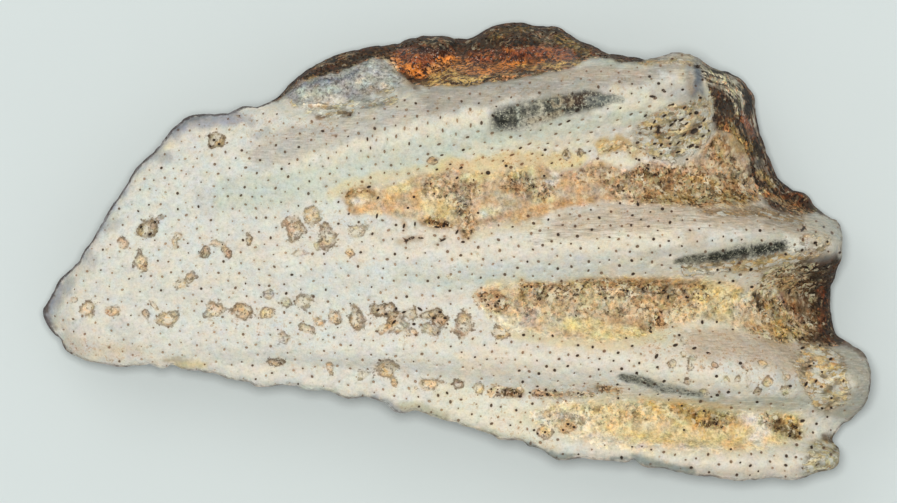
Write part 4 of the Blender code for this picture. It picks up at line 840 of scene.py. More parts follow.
def readCrown(places, rimGap):
    # heights, broad colour and the marks of every place on the upper side
    u, v = toPixels(places)
    wobbleU = relief["wobble"] * rough(places, 0.75, 31) + relief["fineWobble"] * rough(places, 0.28, 32)
    wobbleV = relief["wobbleAcross"] * rough(places, 0.75, 33)
    wobbleV = wobbleV + relief["fineWobbleAcross"] * rough(places, 0.28, 34)
    wu, wv = u + wobbleU, v + wobbleV
    hu, hv = u + relief["strokeWobble"] * wobbleU, v + relief["strokeWobble"] * wobbleV
    colours = np.tile(np.asarray(palette["chalk"]), (len(places), 1))
    marks = {key: np.zeros(len(places)) for key in markNames}

    for stroke in crownStrokes:
        thin = stroke[1] < relief["thinStroke"]
        colours = brush(colours, [stroke], hu if thin else wu, hv if thin else wv)
    for kind, rows in otherMarks.items():
        for half, strength, *line in rows:
            marks[kind] = np.maximum(marks[kind], strength * strokeCover(hu, hv, line, half))
    for kind, name, strength, soft, upper, lower in zones:
        cover = strength * zoneCover(hu, hv, upper, lower, soft)
        colours = paintOver(colours, name, cover)
        for other in ("matrix", "bone", "crumble"):
            marks[other] = marks[other] * (1.0 - cover)
        marks[kind] = np.maximum(marks[kind], cover)
    colours = brush(colours, lateStrokes, hu, hv)
    colours = brush(colours, matrixStrokes, hu, hv, smooth(marks["matrix"], 0.2, 0.6), 0.4)
    ragged = rough(places, 0.30, 35) + 0.6 * rough(places, 0.14, 36)
    height, colours = pittedCrown(crownHeight(places), colours, marks, u, v, ragged)
    height = bareBone(height, places, u, rimGap)

    onBone = smooth(marks["bone"], 0.3, 0.7)
    for name, half, strength, *line in boneStrokes:
        cover = strokeCover(hu, hv, line, half, 0.45)
        colours = paintOver(colours, name, strength * cover)
        if name in rustColours:
            marks["rust"] = np.maximum(marks["rust"], cover * strength * onBone)
    for patch in wearPatches:
        shape = np.array(patch)
        marks["wear"] = np.maximum(marks["wear"], strokeCover(hu, hv, shape[:, :2], shape[:, 2], 0.3))
    colours = brush(colours, wearStrokes, u, v, marks["wear"], 0.5)

    height = fineRelief(height, places, u, v, rimGap, marks)
    inward = np.clip(1.0 - rimGap / crown["edgeRound"], 0.0, 1.0)
    height = height - crown["edgeRound"] * (1.0 - np.sqrt(1.0 - inward**2 * 0.98))
    bevel = (1.0 - smooth(rimGap, 0.0, crown["bevelWidth"])) * (1.0 - smooth(u, 52.0, crown["bevelEnd"]))
    height = height - crown["bevelDrop"] * bevel
    return height, colours, marks


def fineZone(places):
    # where the surface needs small triangles
    u, v = toPixels(places)
    cover = np.zeros(len(places))
    for *_, upper, lower in zones:
        cover = np.maximum(cover, zoneCover(u, v, upper, lower, 6.0))
    for patch in wearPatches:
        shape = np.array(patch)
        cover = np.maximum(cover, strokeCover(u, v, shape[:, :2], shape[:, 2] + 3.0, 0.8))
    for rows in otherMarks.values():
        for half, _, *line in rows:
            cover = np.maximum(cover, 0.8 * strokeCover(u, v, line, half, 0.8))
    for crater in craters:
        reach = np.hypot(u - crater[0], v - crater[1])
        cover = np.maximum(cover, reach < max(crater[2], crater[3]) * 1.15 + 2.0)
    return cover > 0.5


# Mesh of the surface: a triangulated upper side with real pores, a wall of rows, and the worn underside

surface = {
    "rimStep": 0.105, "rimJitter": 0.035, "plainGrid": 0.145, "fineGrid": 0.083, "gridJitter": 0.35,
    "undersideGrid": 0.30, "undersideClear": 0.2, "seed": 11,
}
pores = {
    "spacing": 0.345, "faintSpacing": 0.40, "faintClear": 0.21, "radius": 0.057, "radiusSpread": 0.35,
    "depth": 0.15, "sides": 8, "seed": 5, "innerShare": 0.62, "clear": 0.065,
    "faintRadius": 0.82, "stretch": 0.22, "dark": (0.26, 0.50, 1.3), "faintDark": (0.14, 0.20),
    "eastDark": 0.24, "eastFrom": 420.0, "eastTo": 640.0,
    # pixels, half width, stretch, turn and its spread in degrees
    "slanted": ([430, 165, 560, 140, 690, 112], 26, 0.45, 12.0, 20.0),
    "upright": ([330, 155, 400, 135, 470, 122], 12, 0.3, 80.0, 20.0),
}
rim = closedCurve(outlinePixels, surface["rimStep"])
rimBase = closedCurve(outlinePixels, 0.25)  # the plain outline, for distances
halfSize = np.array([toothLength, np.ptp(rimBase[:, 1])]) / 2.0
alongRim = np.roll(rim, -1, axis=0) - np.roll(rim, 1, axis=0)
outward = np.column_stack([-alongRim[:, 1], alongRim[:, 0]]) / np.linalg.norm(alongRim, axis=1)[:, None]
nicks = np.minimum(rough(rim, 0.45, 51) + 0.5 * rough(rim, 0.2, 52), 0.3)
rim = rim + outward * (surface["rimJitter"] * nicks)[:, None]


def honeycomb(step, jitter, seed, low, high):
    spread = np.random.default_rng(seed)
    rows = int((high[1] - low[1]) / (step * 0.866)) + 2
    columns = int((high[0] - low[0]) / step) + 2
    k, j = np.meshgrid(np.arange(columns), np.arange(rows))
    x, y = low[0] + (k + 0.5 * (j % 2)) * step, low[1] + j * step * 0.866
    spots = np.column_stack([x.ravel(), y.ravel()])
    return spots + (spread.random(spots.shape) - 0.5) * step * jitter


def gridInside(line, step, jitter, seed, clear):
    # a honeycomb of spots within a closed line, none nearer to it than clear
    spots = honeycomb(step, jitter, seed, line.min(axis=0), line.max(axis=0))
    spots = spots[inside(line, spots)]
    return spots[edgePlace(line, spots)[0] > clear]


def fillOutline(ring, spots):
    # triangles between the ring and the loose spots inside it, and the places they use
    points = [Vector(p) for p in np.vstack([ring, spots])]
    count = len(ring)
    edges = [(k, (k + 1) % count) for k in range(count)]
    found = delaunay_2d_cdt(points, edges, [], 1, 1e-7)
    places = np.array([p[:] for p in found[0]])
    first = np.array([ids[0] if ids else -1 for ids in found[3]])
    return places, np.array(found[2]), first


def plainMesh(name, points, faces, marks=None, colours=None):
    mesh = bpy.data.meshes.new(name)
    mesh.from_pydata([tuple(p) for p in points * mm], [], [tuple(int(k) for k in f) for f in faces])
    for key, values in (marks or {}).items():
        layer = mesh.attributes.new(key, "FLOAT", "POINT")
        layer.data.foreach_set("value", np.asarray(values, dtype=np.float32))
    if colours is not None:
        layer = mesh.attributes.new("tint", "FLOAT_COLOR", "POINT")
        full = np.column_stack([np.clip(colours, 0.0, 1.0), np.ones(len(colours))])
        layer.data.foreach_set("color", full.astype(np.float32).ravel())
    mesh.validate()
    mesh.update()
    return mesh


def linkObject(name, mesh):
    thing = bpy.data.objects.new(name, mesh)
    bpy.context.scene.collection.objects.link(thing)
    return thing


class Wire:  # one output of a node; sums on wires become Math nodes
    def __init__(self, tree, socket=None):
        self.tree = tree
        self.socket = socket

    def make(self, kind, settings=None, inputs=None, output=0):
        fresh = self.tree.nodes.new(kind)
        for key, value in (settings or {}).items():
            if key == "stops":
                while len(fresh.color_ramp.elements) < len(value):
                    fresh.color_ramp.elements.new(1.0)
                for stop, (where, colour) in zip(fresh.color_ramp.elements, value, strict=True):
                    stop.position = where
                    stop.color = (*colour, 1.0)
            else:
                setattr(fresh, key, value)
        for key, value in (inputs or {}).items():
            if isinstance(value, Wire):
                self.tree.links.new(value.socket, fresh.inputs[key])
            elif value is not None:
                fresh.inputs[key].default_value = value
        return Wire(self.tree, fresh.outputs[output])

    def sum(self, operation, first, second):
        return self.make("ShaderNodeMath", {"operation": operation}, {0: first, 1: second})

    def __add__(self, other):
        return self.sum("ADD", self, other)

    def __radd__(self, other):
        return self.sum("ADD", other, self)

    def __sub__(self, other):
        return self.sum("SUBTRACT", self, other)

    def __rsub__(self, other):
        return self.sum("SUBTRACT", other, self)

    def __mul__(self, other):
        return self.sum("MULTIPLY", self, other)

    def __rmul__(self, other):
        return self.sum("MULTIPLY", other, self)

    def between(self, low, high):
        # 0 at low, 1 at high, eased; low may be the larger
        start, stop, first, last = (low, high, 0.0, 1.0) if low < high else (high, low, 1.0, 0.0)
        return self.make("ShaderNodeMapRange", {"interpolation_type": "SMOOTHSTEP"}, {
            "Value": self, "From Min": start, "From Max": stop, "To Min": first, "To Max": last})

    def mix(self, factor, first, second, how="MIX"):
        colours = [(*c, 1.0) if isinstance(c, tuple) else c for c in (first, second)]
        settings = {"data_type": "RGBA", "blend_type": how}
        return self.make("ShaderNodeMix", settings, {0: factor, 6: colours[0], 7: colours[1]}, 2)

    def blend(self, first, second):
        # self is the factor
        return self.mix(self, first, second)

    def tinted(self, colour):
        return self.mix(1.0, self, colour, "MULTIPLY")

    def lean(self, toward, base):
        # base plus self times a colour
        return self.make("ShaderNodeVectorMath", {"operation": "MULTIPLY_ADD"}, {0: self, 1: toward, 2: base})

    def scaled(self, factor):
        return self.make("ShaderNodeVectorMath", {"operation": "SCALE"}, {0: self, "Scale": factor})


# Geometry Nodes: pore spots, matrix grains and bone crumbs are scattered on the surface

portKinds = {int: "NodeSocketInt", float: "NodeSocketFloat", bpy.types.Material: "NodeSocketMaterial"}


def scatterTree(name, values, build):
    tree = bpy.data.node_groups.new(name, "GeometryNodeTree")
    tree.interface.new_socket(name="Surface", in_out="INPUT", socket_type="NodeSocketGeometry")
    for key, value in values.items():
        tree.interface.new_socket(name=key, in_out="INPUT", socket_type=portKinds[type(value)])
    tree.interface.new_socket(name="Result", in_out="OUTPUT", socket_type="NodeSocketGeometry")
    entry = tree.nodes.new("NodeGroupInput")
    leave = tree.nodes.new("NodeGroupOutput")
    ports = {end.name: Wire(tree, end) for end in entry.outputs if end.name}
    result = build(ports)
    tree.links.new(result.socket, leave.inputs["Result"])
    return tree


def runTree(carrier, tree, values, name):
    change = carrier.modifiers.new(name, "NODES")
    change.node_group = tree
    for item in tree.interface.items_tree:
        if item.in_out == "INPUT" and item.name in values:
            change[item.identifier] = values[item.name]
    bpy.context.view_layer.update()
    view = bpy.context.evaluated_depsgraph_get()
    made = bpy.data.meshes.new_from_object(carrier.evaluated_get(view))
    carrier.modifiers.remove(change)
    made.name = name
    return made


def spotPorts(ports):
    room = ports["Surface"].make("GeometryNodeInputNamedAttribute", {"data_type": "FLOAT"}, {"Name": "room"})
    return ports["Surface"].make("GeometryNodeDistributePointsOnFaces", {"distribute_method": "POISSON"}, {
        "Mesh": ports["Surface"], "Distance Min": ports["Spacing"], "Density Max": ports["Density"],
        "Density Factor": room, "Seed": ports["Seed"]})


def buildPoreSpots(ports):
    spots = spotPorts(ports)
    return spots.make("GeometryNodePointsToVertices", {}, {"Points": spots})


def poreSpots(spacing, seed):
    spots = gridInside(rimBase, 0.32, 0.2, 3, 0.12)
    places, faces, _ = fillOutline(rimBase, spots)
    gap = edgePlace(rimBase, places)[0]
    _, _, marks = readCrown(places, gap)
    covered = np.maximum.reduce([marks["matrix"], marks["bone"], 0.6 * marks["wear"], 0.6 * marks["crumble"],
                                 marks["reach"] < 1.1, marks["chip"]])
    room = (1.0 - smooth(covered, 0.25, 0.6)) * smooth(gap, 0.10, 0.22) * (beyondEdge(places) < -0.15)
    flat = np.column_stack([places, np.zeros(len(places))])
    sheet = linkObject("pore_sheet", plainMesh("pore_sheet", flat, faces, {"room": room}))
    numbers = {"Spacing": spacing * mm, "Density": 2.2e7, "Seed": seed}
    made = runTree(sheet, scatterTree("pore spots", numbers, buildPoreSpots), numbers, "pore_spots")
    found = np.array([p.co[:2] for p in made.vertices]) / mm
    bpy.data.objects.remove(sheet)
    return found


poreCentres = poreSpots(pores["spacing"], pores["seed"])
faintOnes = poreSpots(pores["faintSpacing"], pores["seed"] + 1)
apart = np.sqrt(((faintOnes[:, None, :] - poreCentres[None, :, :]) ** 2).sum(axis=2).min(axis=1))
faintOnes = faintOnes[apart > pores["faintClear"]]
print("pores:", len(poreCentres), "and", len(faintOnes), "faint")


def poreShapes():
    # radius, stretch, turn and darkness of each pore, by where it is
    spread = np.random.default_rng(pores["seed"])
    centres = np.vstack([poreCentres, faintOnes])
    strong = np.arange(len(centres)) < len(poreCentres)
    u, v = toPixels(centres)
    radius = pores["radius"] * (1.0 + pores["radiusSpread"] * (spread.random(len(u)) - 0.5) * 2.0)
    radius *= (0.90 + 0.14 * smooth(u, 250.0, 560.0)) * np.where(strong, 1.0, pores["faintRadius"])
    stretch = 1.0 + pores["stretch"] * spread.random(len(u))
    turn = spread.random(len(u)) * 180.0
    least, more, power = pores["dark"]
    dark = least + more * spread.random(len(u)) ** power
    least, more = pores["faintDark"]
    dark = np.where(strong, dark, least + more * spread.random(len(u)))
    dark = np.where(strong, dark + pores["eastDark"] * smooth(u, pores["eastFrom"], pores["eastTo"]), dark)
    line, half, longer, lean, leanSpread = pores["slanted"]
    flank = strokeCover(u, v, line, half)
    stretch = stretch + longer * flank * spread.random(len(u))
    turn = np.where(flank > 0.3, lean + leanSpread * spread.random(len(u)), turn)
    line, half, longer, lean, leanSpread = pores["upright"]
    upright = strokeCover(u, v, line, half)
    stretch = stretch + longer * upright
    turn = np.where(upright > 0.3, lean + leanSpread * spread.random(len(u)), turn)
    for half, fade, *line in quietPores:
        quiet = fade * strokeCover(u, v, line, half)
        dark = dark * (1.0 - quiet)
        radius = radius * (1.0 - 0.3 * quiet)
    pits = np.array(deepPits)
    centres = np.vstack([centres, toMm(pits[:, :2])])
    radius = np.concatenate([radius, np.sqrt(pits[:, 2] * pits[:, 3]) / perMm])
    stretch = np.concatenate([np.minimum(stretch, 2.2), np.sqrt(pits[:, 2] / pits[:, 3])])
    turn = np.concatenate([turn, pits[:, 4]])
    dark = np.concatenate([dark, np.ones(len(pits))])
    return centres, radius, stretch, np.radians(turn), dark


def clearOf(spots, centres, reach):
    # the spots that lie outside every circle, looked up in square cells
    side = 0.3
    cells = {}
    for k, (x, y) in enumerate(spots):
        cells.setdefault((int(x // side), int(y // side)), []).append(k)
    keep = np.ones(len(spots), dtype=bool)
    for (x, y), far in zip(centres, reach, strict=True):
        column, row = int(x // side), int(y // side)
        for cell in ((column + i, row + j) for i in (-1, 0, 1) for j in (-1, 0, 1)):
            for k in cells.get(cell, ()):
                if math.hypot(spots[k, 0] - x, spots[k, 1] - y) < far:
                    keep[k] = False
    return spots[keep]


def crownSheet():
    clear = surface["rimStep"] * 0.55
    plain = gridInside(rim, surface["plainGrid"], surface["gridJitter"], surface["seed"], clear)
    fine = gridInside(rim, surface["fineGrid"], surface["gridJitter"], surface["seed"] + 1, clear)
    centres, radius, stretch, turn, dark = poreShapes()
    reach = radius * np.minimum(stretch, 1.3) + pores["clear"]
    spots = clearOf(np.vstack([plain[~fineZone(plain)], fine[fineZone(fine)]]), centres, reach)
    angle = np.arange(pores["sides"]) * 2.0 * math.pi / pores["sides"]
    circle = np.column_stack([np.cos(angle), np.sin(angle)])
    poreRings, poreSink, poreDark = [], [], []
    for centre, r, s, t, d in zip(centres, radius, stretch, turn, dark, strict=True):
        spin = np.array([[math.cos(t), math.sin(t)], [-math.sin(t), math.cos(t)]])
        oval = (circle * (r * s, r / s)) @ spin
        deep = pores["depth"] * (0.3 + 0.9 * d) * min(r / pores["radius"], 1.3)
        poreRings += [*(centre + oval), *(centre + oval * pores["innerShare"]), centre]
        poreSink += [0.0] * pores["sides"] + [deep * 0.75] * pores["sides"] + [deep]
        poreDark += [0.0] * pores["sides"] + [d] * pores["sides"] + [d]
    unbroken = np.zeros(len(rim) + len(spots))
    places, faces, first = fillOutline(rim, np.vstack([spots, poreRings]))
    sink = np.concatenate([unbroken, poreSink])[first]
    gap, arc = edgePlace(rimBase, places)
    gap[:len(rim)] = 0.0
    height, colours, marks = readCrown(places, gap)
    marks["pore"] = np.concatenate([unbroken, poreDark])[first]
    marks["side"] = np.zeros(len(places))
    marks["gap"] = gap
    marks["arc"] = arc
    return np.column_stack([places, height - sink]), faces, colours, marks


def wallRows(topRing):
    # rings from the rim down to the foot, and what covers them
    lastInset = wall["rows"][-1][1]
    plan = topRing[:, :2]
    foot = undersideHeight(plan * (1.0 - lastInset / halfSize))
    rings, sides, tones = [], [], []
    for share, inset in wall["rows"][1:]:
        pulled = plan * (1.0 - inset / halfSize)
        z = foot + (topRing[:, 2] - foot) * share
        solid = np.column_stack([pulled, z])
        uneven = rough(solid, wall["lumpSize"], 1) + 0.5 * rough(solid, wall["lumpSize"] * 0.4, 2)
        push = wall["lump"] * uneven * smooth(1.0 - share, 0.15, 0.5)
        low = smooth(1.0 - share, *wall["lowFrom"])
        broad, narrow = wall["sponge"]
        sponge = broad * rough(solid, 0.5, 23) + narrow * rough(solid, 0.22, 24)
        push = push + sponge * low + wall["skin"] * rough(solid, 0.3, 25)
        if share == 0.0:
            push = push * 0.0
        away = pulled / np.maximum(np.linalg.norm(pulled, axis=1), 1.0)[:, None]
        rings.append(np.column_stack([pulled + away * push[:, None], z]))
        sides.append(np.full(len(plan), 1.0 - share))
        tones.append(low)
    return rings, sides, tones


def addMarks(marks, count, special):
    # a row of marks off the crown: nought, or far off, unless given
    plain = {"reach": 3.0, "gap": 2.0}
    for key, rows in marks.items():
        rows.append(np.broadcast_to(special.get(key, plain.get(key, 0.0)), (count,)))


def toothSurface():
    top, topFaces, topColours, topMarks = crownSheet()
    count = len(rim)
    rings, sides, tones = wallRows(top[:count])
    bone, dentine = np.asarray(palette["boneBrown"]), np.asarray(palette["pinkGrey"])
    rimColour = topColours[:count]
    covered = np.maximum(topMarks["bone"][:count], topMarks["rust"][:count])
    points, faces, colours = [top], [topFaces], [topColours]
    marks = {key: [value] for key, value in topMarks.items()}
    start, previous = len(top), np.arange(count)
    for ring, side, low in zip(rings, sides, tones, strict=True):
        here = np.arange(start, start + count)
        a, b = previous, np.roll(previous, -1)
        c, d = np.roll(here, -1), here
        faces.append(np.column_stack([a, d, b]))
        faces.append(np.column_stack([b, d, c]))
        mixed = rimColour * wall["rimTone"] + dentine * wall["dentineTone"]
        low = np.maximum(low, covered * smooth(side, 0.0, 0.2))
        shade = bone * (0.75 + 0.35 * rough(ring, 0.9, 26))[:, None]
        blend = smooth(side, 0.0, 0.12)[:, None]
        upper = rimColour * (1.0 - blend) + mixed * blend
        colours.append(upper + (shade - upper) * low[:, None])
        crusted = low * 0.5 * smooth(rough(ring, 1.4, 27), 0.0, 0.8)
        addMarks(marks, count, {"arc": topMarks["arc"][:count], "bone": low, "matrix": crusted, "side": side})
        points.append(ring)
        previous = here
        start += count
    # the underside closes the wall's last ring
    shrink = 1.0 - wall["rows"][-1][1] / halfSize
    spots = gridInside(rim, surface["undersideGrid"], 0.4, surface["seed"] + 1, surface["undersideClear"])
    places, baseFaces, _ = fillOutline(rim, spots)
    inner = places[count:] * shrink
    index = np.concatenate([previous, np.arange(start, start + len(inner))])
    faces.append(index[baseFaces][:, ::-1])
    points.append(np.column_stack([inner, undersideHeight(inner)]))
    colours.append(bone * (0.85 + 0.35 * rough(inner, 0.8, 28))[:, None])
    crusted = 0.6 * smooth(rough(inner, 1.8, 29), -0.1, 0.7)
    addMarks(marks, len(inner), {"bone": 1.0, "matrix": crusted, "side": 1.0})
    merged = {key: np.concatenate(value) for key, value in marks.items()}
    return np.vstack(points), np.vstack(faces), np.vstack(colours), merged


points, faces, colours, marks = toothSurface()
tooth = linkObject("tooth_surface", plainMesh("tooth_surface", points, faces, marks, colours))
tooth.data.shade_smooth()
print("surface:", len(tooth.data.vertices), "points", len(tooth.data.polygons), "faces")


# Materials

def startMaterial(name):
    material = bpy.data.materials.new(name)
    material.use_nodes = True
    tree = material.node_tree
    tree.nodes.clear()
    end = tree.nodes.new("ShaderNodeOutputMaterial")
    wire = Wire(tree)
    place = wire.make("ShaderNodeTexCoord", output="Object").scaled(1.0 / mm)  # millimetres
    return material, tree, end, wire, place


def finishMaterial(tree, end, wire, colour, roughness, height, specular=0.4):
    bump = wire.make("ShaderNodeBump", {}, {"Strength": 1.0, "Distance": mm, "Height": height})
    shader = wire.make("ShaderNodeBsdfPrincipled", {}, {
        "Base Color": colour, "Roughness": roughness, "Normal": bump, "Specular IOR Level": specular})
    tree.links.new(shader.socket, end.inputs["Surface"])


def readMark(wire, name, output="Fac"):
    return wire.make("ShaderNodeAttribute", {"attribute_name": name}, {}, output)


def speckle(wire, place, scale, detail=2.0, rough=0.5, warp=0.0, output=0):
    return wire.make("ShaderNodeTexNoise", {}, {
        "Vector": place, "Scale": scale, "Detail": detail, "Roughness": rough, "Distortion": warp}, output)


def colourParts(colour):
    bands = ("Red", "Green", "Blue")
    return [colour.make("ShaderNodeSeparateColor", {}, {0: colour}, band) for band in bands]


def shareOf(look, amount):
    # a plain number, or the sum of wires from the look times their shares, "all" being the plain part
    if not isinstance(amount, dict):
        return amount
    parts = [share if name == "all" else look[name] * shareOf(look, share) for name, share in amount.items()]
    return sum(parts[1:], parts[0])


def uneven(look, middle, amounts):
    # middle, give or take each noise times its amount
    for name, amount in amounts.items():
        middle = middle + (look[name] - 0.5) * shareOf(look, amount)
    return middle


def raggedEdge(look, mark, edge):
    low, high, amounts = edge
    return uneven(look, look[mark], amounts).between(low, high)


def touchUp(look, colour, touches):
    # "on" lays a colour on, "in" multiplies it in
    for name, low, high, amount, how, shade in touches:
        cover = look[name].between(low, high) * shareOf(look, amount)
        colour = cover.blend(colour, colour.tinted(shade) if how == "in" else shade)
    return colour


def skin(look, base, finish):
    middle, amounts = finish["tone"]
    return touchUp(look, base.scaled(uneven(look, middle, amounts)), finish["touches"])


def washed(look, colour, wash):
    # faint warm and cool clouds over a colour
    warm, pink, plain = wash
    return colour.tinted(look["warm"].lean(warm, look["pink"].lean(pink, plain)))


# Each finish: its tone with the noises that vary it, its ragged edge, its bumps in millimetres, and its
# touches: noise, from, to, strength, laid on or multiplied in, colour

noises = {  # scale, detail, roughness, distortion
    "clouds": (0.55, 3.0, 0.55), "lumps": (1.4, 2.0, 0.55), "patches": (2.6, 3.0, 0.62),
    "fine": (7.0, 3.0, 0.62, 0.2), "tiny": (13.0, 2.0, 0.6),
}
grainScales = {"cell": 4.2, "grain": 7.5, "splinter": 3.4}
crownFinish = {
    "roughness": 0.52,
    "wash": ((0.32, 0.02, -0.40), (0.10, -0.15, -0.02), (1.0, 1.0, 1.0)),
    "tone": (1.0, {"clouds": 0.12, "patches": 0.30, "fine": 0.58, "tiny": 0.38,
                   "streak": {"all": 0.15, "streaky": 0.9}, "dashes": {"streaky": 0.8}}),
    "bumps": {"patches": 0.018, "fine": 0.014, "tiny": 0.004, "streak": {"all": 0.010, "streaky": 0.03}},
    "touches": [
        ("streak", 0.58, 0.66, {"streaky": 0.6}, "in", (0.62, 0.50, 0.42)),
        ("dashes", 0.58, 0.66, {"streaky": 0.45}, "on", (0.78, 0.75, 0.66)),
        ("dashes", 0.40, 0.34, {"streakyPatch": 0.6}, "on", (0.26, 0.21, 0.15)),
        ("fine", 0.54, 0.64, {"lumpHigh": 0.4, "gritty": 0.9}, "in", (0.70, 0.54, 0.41)),
        ("fine", 0.42, 0.32, {"lumpLow": 0.5}, "in", (0.80, 0.86, 0.78)),
    ],
}
chipFinish = {  # cool, mottled
    "cover": 0.85,
    "tone": (1.02, {"patches": 2.0, "fine": 3.0, "tiny": 1.0}),
    "touches": [
        ("cellHue", 0.66, 0.76, 0.40, "on", (0.26, 0.245, 0.26)),
        ("cellHue", 0.34, 0.24, 0.40, "on", (0.36, 0.39, 0.31)),
        ("fine", 0.45, 0.39, 0.75, "in", (0.50, 0.42, 0.40)),
        ("tiny", 0.58, 0.63, 0.5, "on", (0.66, 0.65, 0.56)),
        ("grainPick", 0.88, 0.92, 0.5, "on", (0.16, 0.12, 0.10)),
    ],
}
crumbleFinish = {  # pale and dark splinters, all leaning one way
    "edge": (0.25, 0.60, {"fine": 0.9, "patches": 1.2}),
    "tint": (0.97, 0.94, 0.88),
    "tone": (1.04, {"splinterTone": 0.60, "fine": 1.2, "tiny": 0.7}),
    "bumps": {"splinterTone": 0.03, "fine": 0.05},
    "touches": [
        ("splinterHue", 0.50, 0.80, 1.0, "in", (1.04, 0.95, 0.72)),
        ("splinterPick", 0.84, 0.88, 0.7, "on", (0.20, 0.15, 0.08)),
        ("splinterHue", 0.24, 0.18, 0.7, "on", (0.74, 0.73, 0.62)),
        ("grainPick", 0.90, 0.94, 0.7, "on", (0.78, 0.74, 0.62)),
        ("grainHue", 0.90, 0.93, 0.6, "on", (0.50, 0.27, 0.12)),
    ],
}
pitFinish = {  # a broken dark line round a mottled floor
    "wander": {"patches": 1.3, "fine": 1.3},
    "wash": ((0.45, 0.0, -0.75), (0.25, -0.20, -0.05), (1.04, 0.98, 0.88)),
    "tone": (1.0, {"grainTone": 0.3, "fine": 1.0, "tiny": 0.6}),
    "lineCover": 0.85, "line": (0.19, 0.132, 0.08),
    "touches": [
        ("patches", 0.48, 0.58, 0.75, "on", (0.76, 0.72, 0.59)),
        ("fine", 0.46, 0.39, {"ring": 0.9}, "on", (0.15, 0.11, 0.065)),
    ],
}
mudFinish = {  # soft ochre mud, with packed grains and dark specks where it is gritty
    "roughness": 0.92,
    "edge": (0.42, 0.56, {"fine": 1.2, "patches": 1.5}),
    "wash": ((0.60, 0.0, -1.1), (0.25, -0.22, -0.05), (1.0, 1.0, 1.0)),
    "tone": (1.07, {"patches": 1.5, "fine": {"all": 1.4, "gritty": 1.8}, "tiny": {"all": 0.7, "gritty": 0.8},
                    "cellTone": 0.18}),
    "bumps": {"grainTone": 0.012, "cellTone": 0.02, "tiny": 0.03, "fine": 0.07, "patches": 0.05},
    "touches": [
        ("patches", 0.58, 0.66, 0.45, "on", (0.84, 0.73, 0.49)),
        ("grainPick", 0.86, 0.90, {"all": 0.15, "gritty": 0.45}, "on", (0.86, 0.76, 0.54)),
        ("cellPick", 0.20, 0.14, {"crowd": 0.6}, "in", (0.42, 0.33, 0.26)),
        ("cellHue", 0.84, 0.88, {"crowd": 0.6}, "on", (0.86, 0.76, 0.54)),
        ("cellTone", 0.28, 0.20, {"crowd": 0.65}, "in", (0.38, 0.33, 0.24)),
        ("cellTone", 0.82, 0.88, {"crowd": 0.7}, "on", (0.84, 0.78, 0.57)),
        ("patches", 0.45, 0.38, {"crowd": 0.65}, "in", (0.46, 0.37, 0.28)),
        ("grainPick", 0.15, 0.10, {"all": 0.15, "crowd": 0.7}, "in", (0.20, 0.15, 0.11)),
        ("fine", 0.42, 0.36, {"all": 0.15, "crowd": 0.8}, "in", (0.16, 0.12, 0.09)),
        ("grainHue", 0.70, 0.75, {"all": 0.2, "gritty": 0.5}, "in", (1.10, 0.84, 0.62)),
        ("grainHue", 0.25, 0.20, {"all": 0.2, "gritty": 0.5}, "in", (0.84, 0.88, 0.66)),
    ],
}
boneFinish = {  # dark and thready, with reddish and pale grains, the palest specks partly painted glints
    "roughness": 0.60,
    "edge": (0.36, 0.58, {"fine": 0.8, "patches": 0.8}),
    "tint": (0.95, 0.89, 0.80),
    "tone": (1.08, {"patches": 1.4, "fine": 3.8, "tiny": 1.4, "grainTone": 0.5}),
    "bumps": {"fine": 0.06, "tiny": 0.03},
    "touches": [
        ("cellHue", 0.62, 0.68, 0.6, "in", (1.5, 0.86, 0.52)),
        ("cellHue", 0.30, 0.24, 0.6, "in", (0.98, 1.03, 0.68)),
        ("threads", 0.54, 0.61, 0.6, "in", (2.8, 2.8, 2.8)),
        ("grainPick", 0.87, 0.91, 0.60, "on", (0.42, 0.31, 0.17)),
        # pale specks: partly pale grains, partly painted highlight glints
        ("grainHue", 0.93, 0.96, 0.7, "on", (0.52, 0.45, 0.30)),
        ("cellPick", 0.26, 0.18, 0.7, "on", (0.020, 0.015, 0.010)),
        ("threads", 0.48, 0.43, 0.9, "on", (0.012, 0.011, 0.008)),
    ],
}
fibreFinish = {
    "cover": {"all": 0.35, "lumpWide": 0.6},
    "bumps": {"strands": 0.10},
    "touches": [
        ("strands", 0.50, 0.545, 0.85, "in", (2.2, 2.2, 2.2)),
        ("strands", 0.525, 0.56, 0.9, "on", (0.70, 0.64, 0.50)),
        ("strands", 0.49, 0.455, 0.95, "on", (0.020, 0.015, 0.012)),
    ],
}
rustFinish = {  # amber to dark red, glossy
    "roughness": 0.30,
    "edge": (0.34, 0.58, {"patches": 1.0, "fine": 0.8}),
    "tone": (1.42, {"patches": 3.8, "fine": 4.0, "tiny": 2.4, "grainTone": 0.5}),
    "bumps": {"fine": 0.03},
    "touches": [
        ("cellPick", 0.80, 0.86, 0.5, "on", (0.60, 0.21, 0.035)),
        ("patches", 0.46, 0.38, 0.8, "on", (0.075, 0.020, 0.010)),
        ("fine", 0.49, 0.43, 0.9, "on", (0.045, 0.013, 0.007)),
        ("threads", 0.47, 0.42, 0.7, "on", (0.030, 0.012, 0.008)),
        # painted highlight: small pale glint specks
        ("tiny", 0.635, 0.67, 0.75, "on", (0.90, 0.74, 0.60)),
    ],
}
wearFinish = {  # dark facets with pale flecks
    "edge": (0.34, 0.58, {"fine": 1.5, "tiny": 0.8, "grainTone": 0.4}),
    "tone": (0.75, {"patches": 0.8, "fine": 2.8, "tiny": 1.2}),
    "bumps": {"tiny": 0.02},
    "touches": [
        ("fine", 0.55, 0.63, 0.32, "on", (0.32, 0.30, 0.20)),
        ("tiny", 0.58, 0.64, {"patchWide": 0.60}, "on", (0.60, 0.58, 0.42)),
        ("patches", 0.57, 0.64, 0.35, "on", (0.42, 0.41, 0.31)),
    ],
}
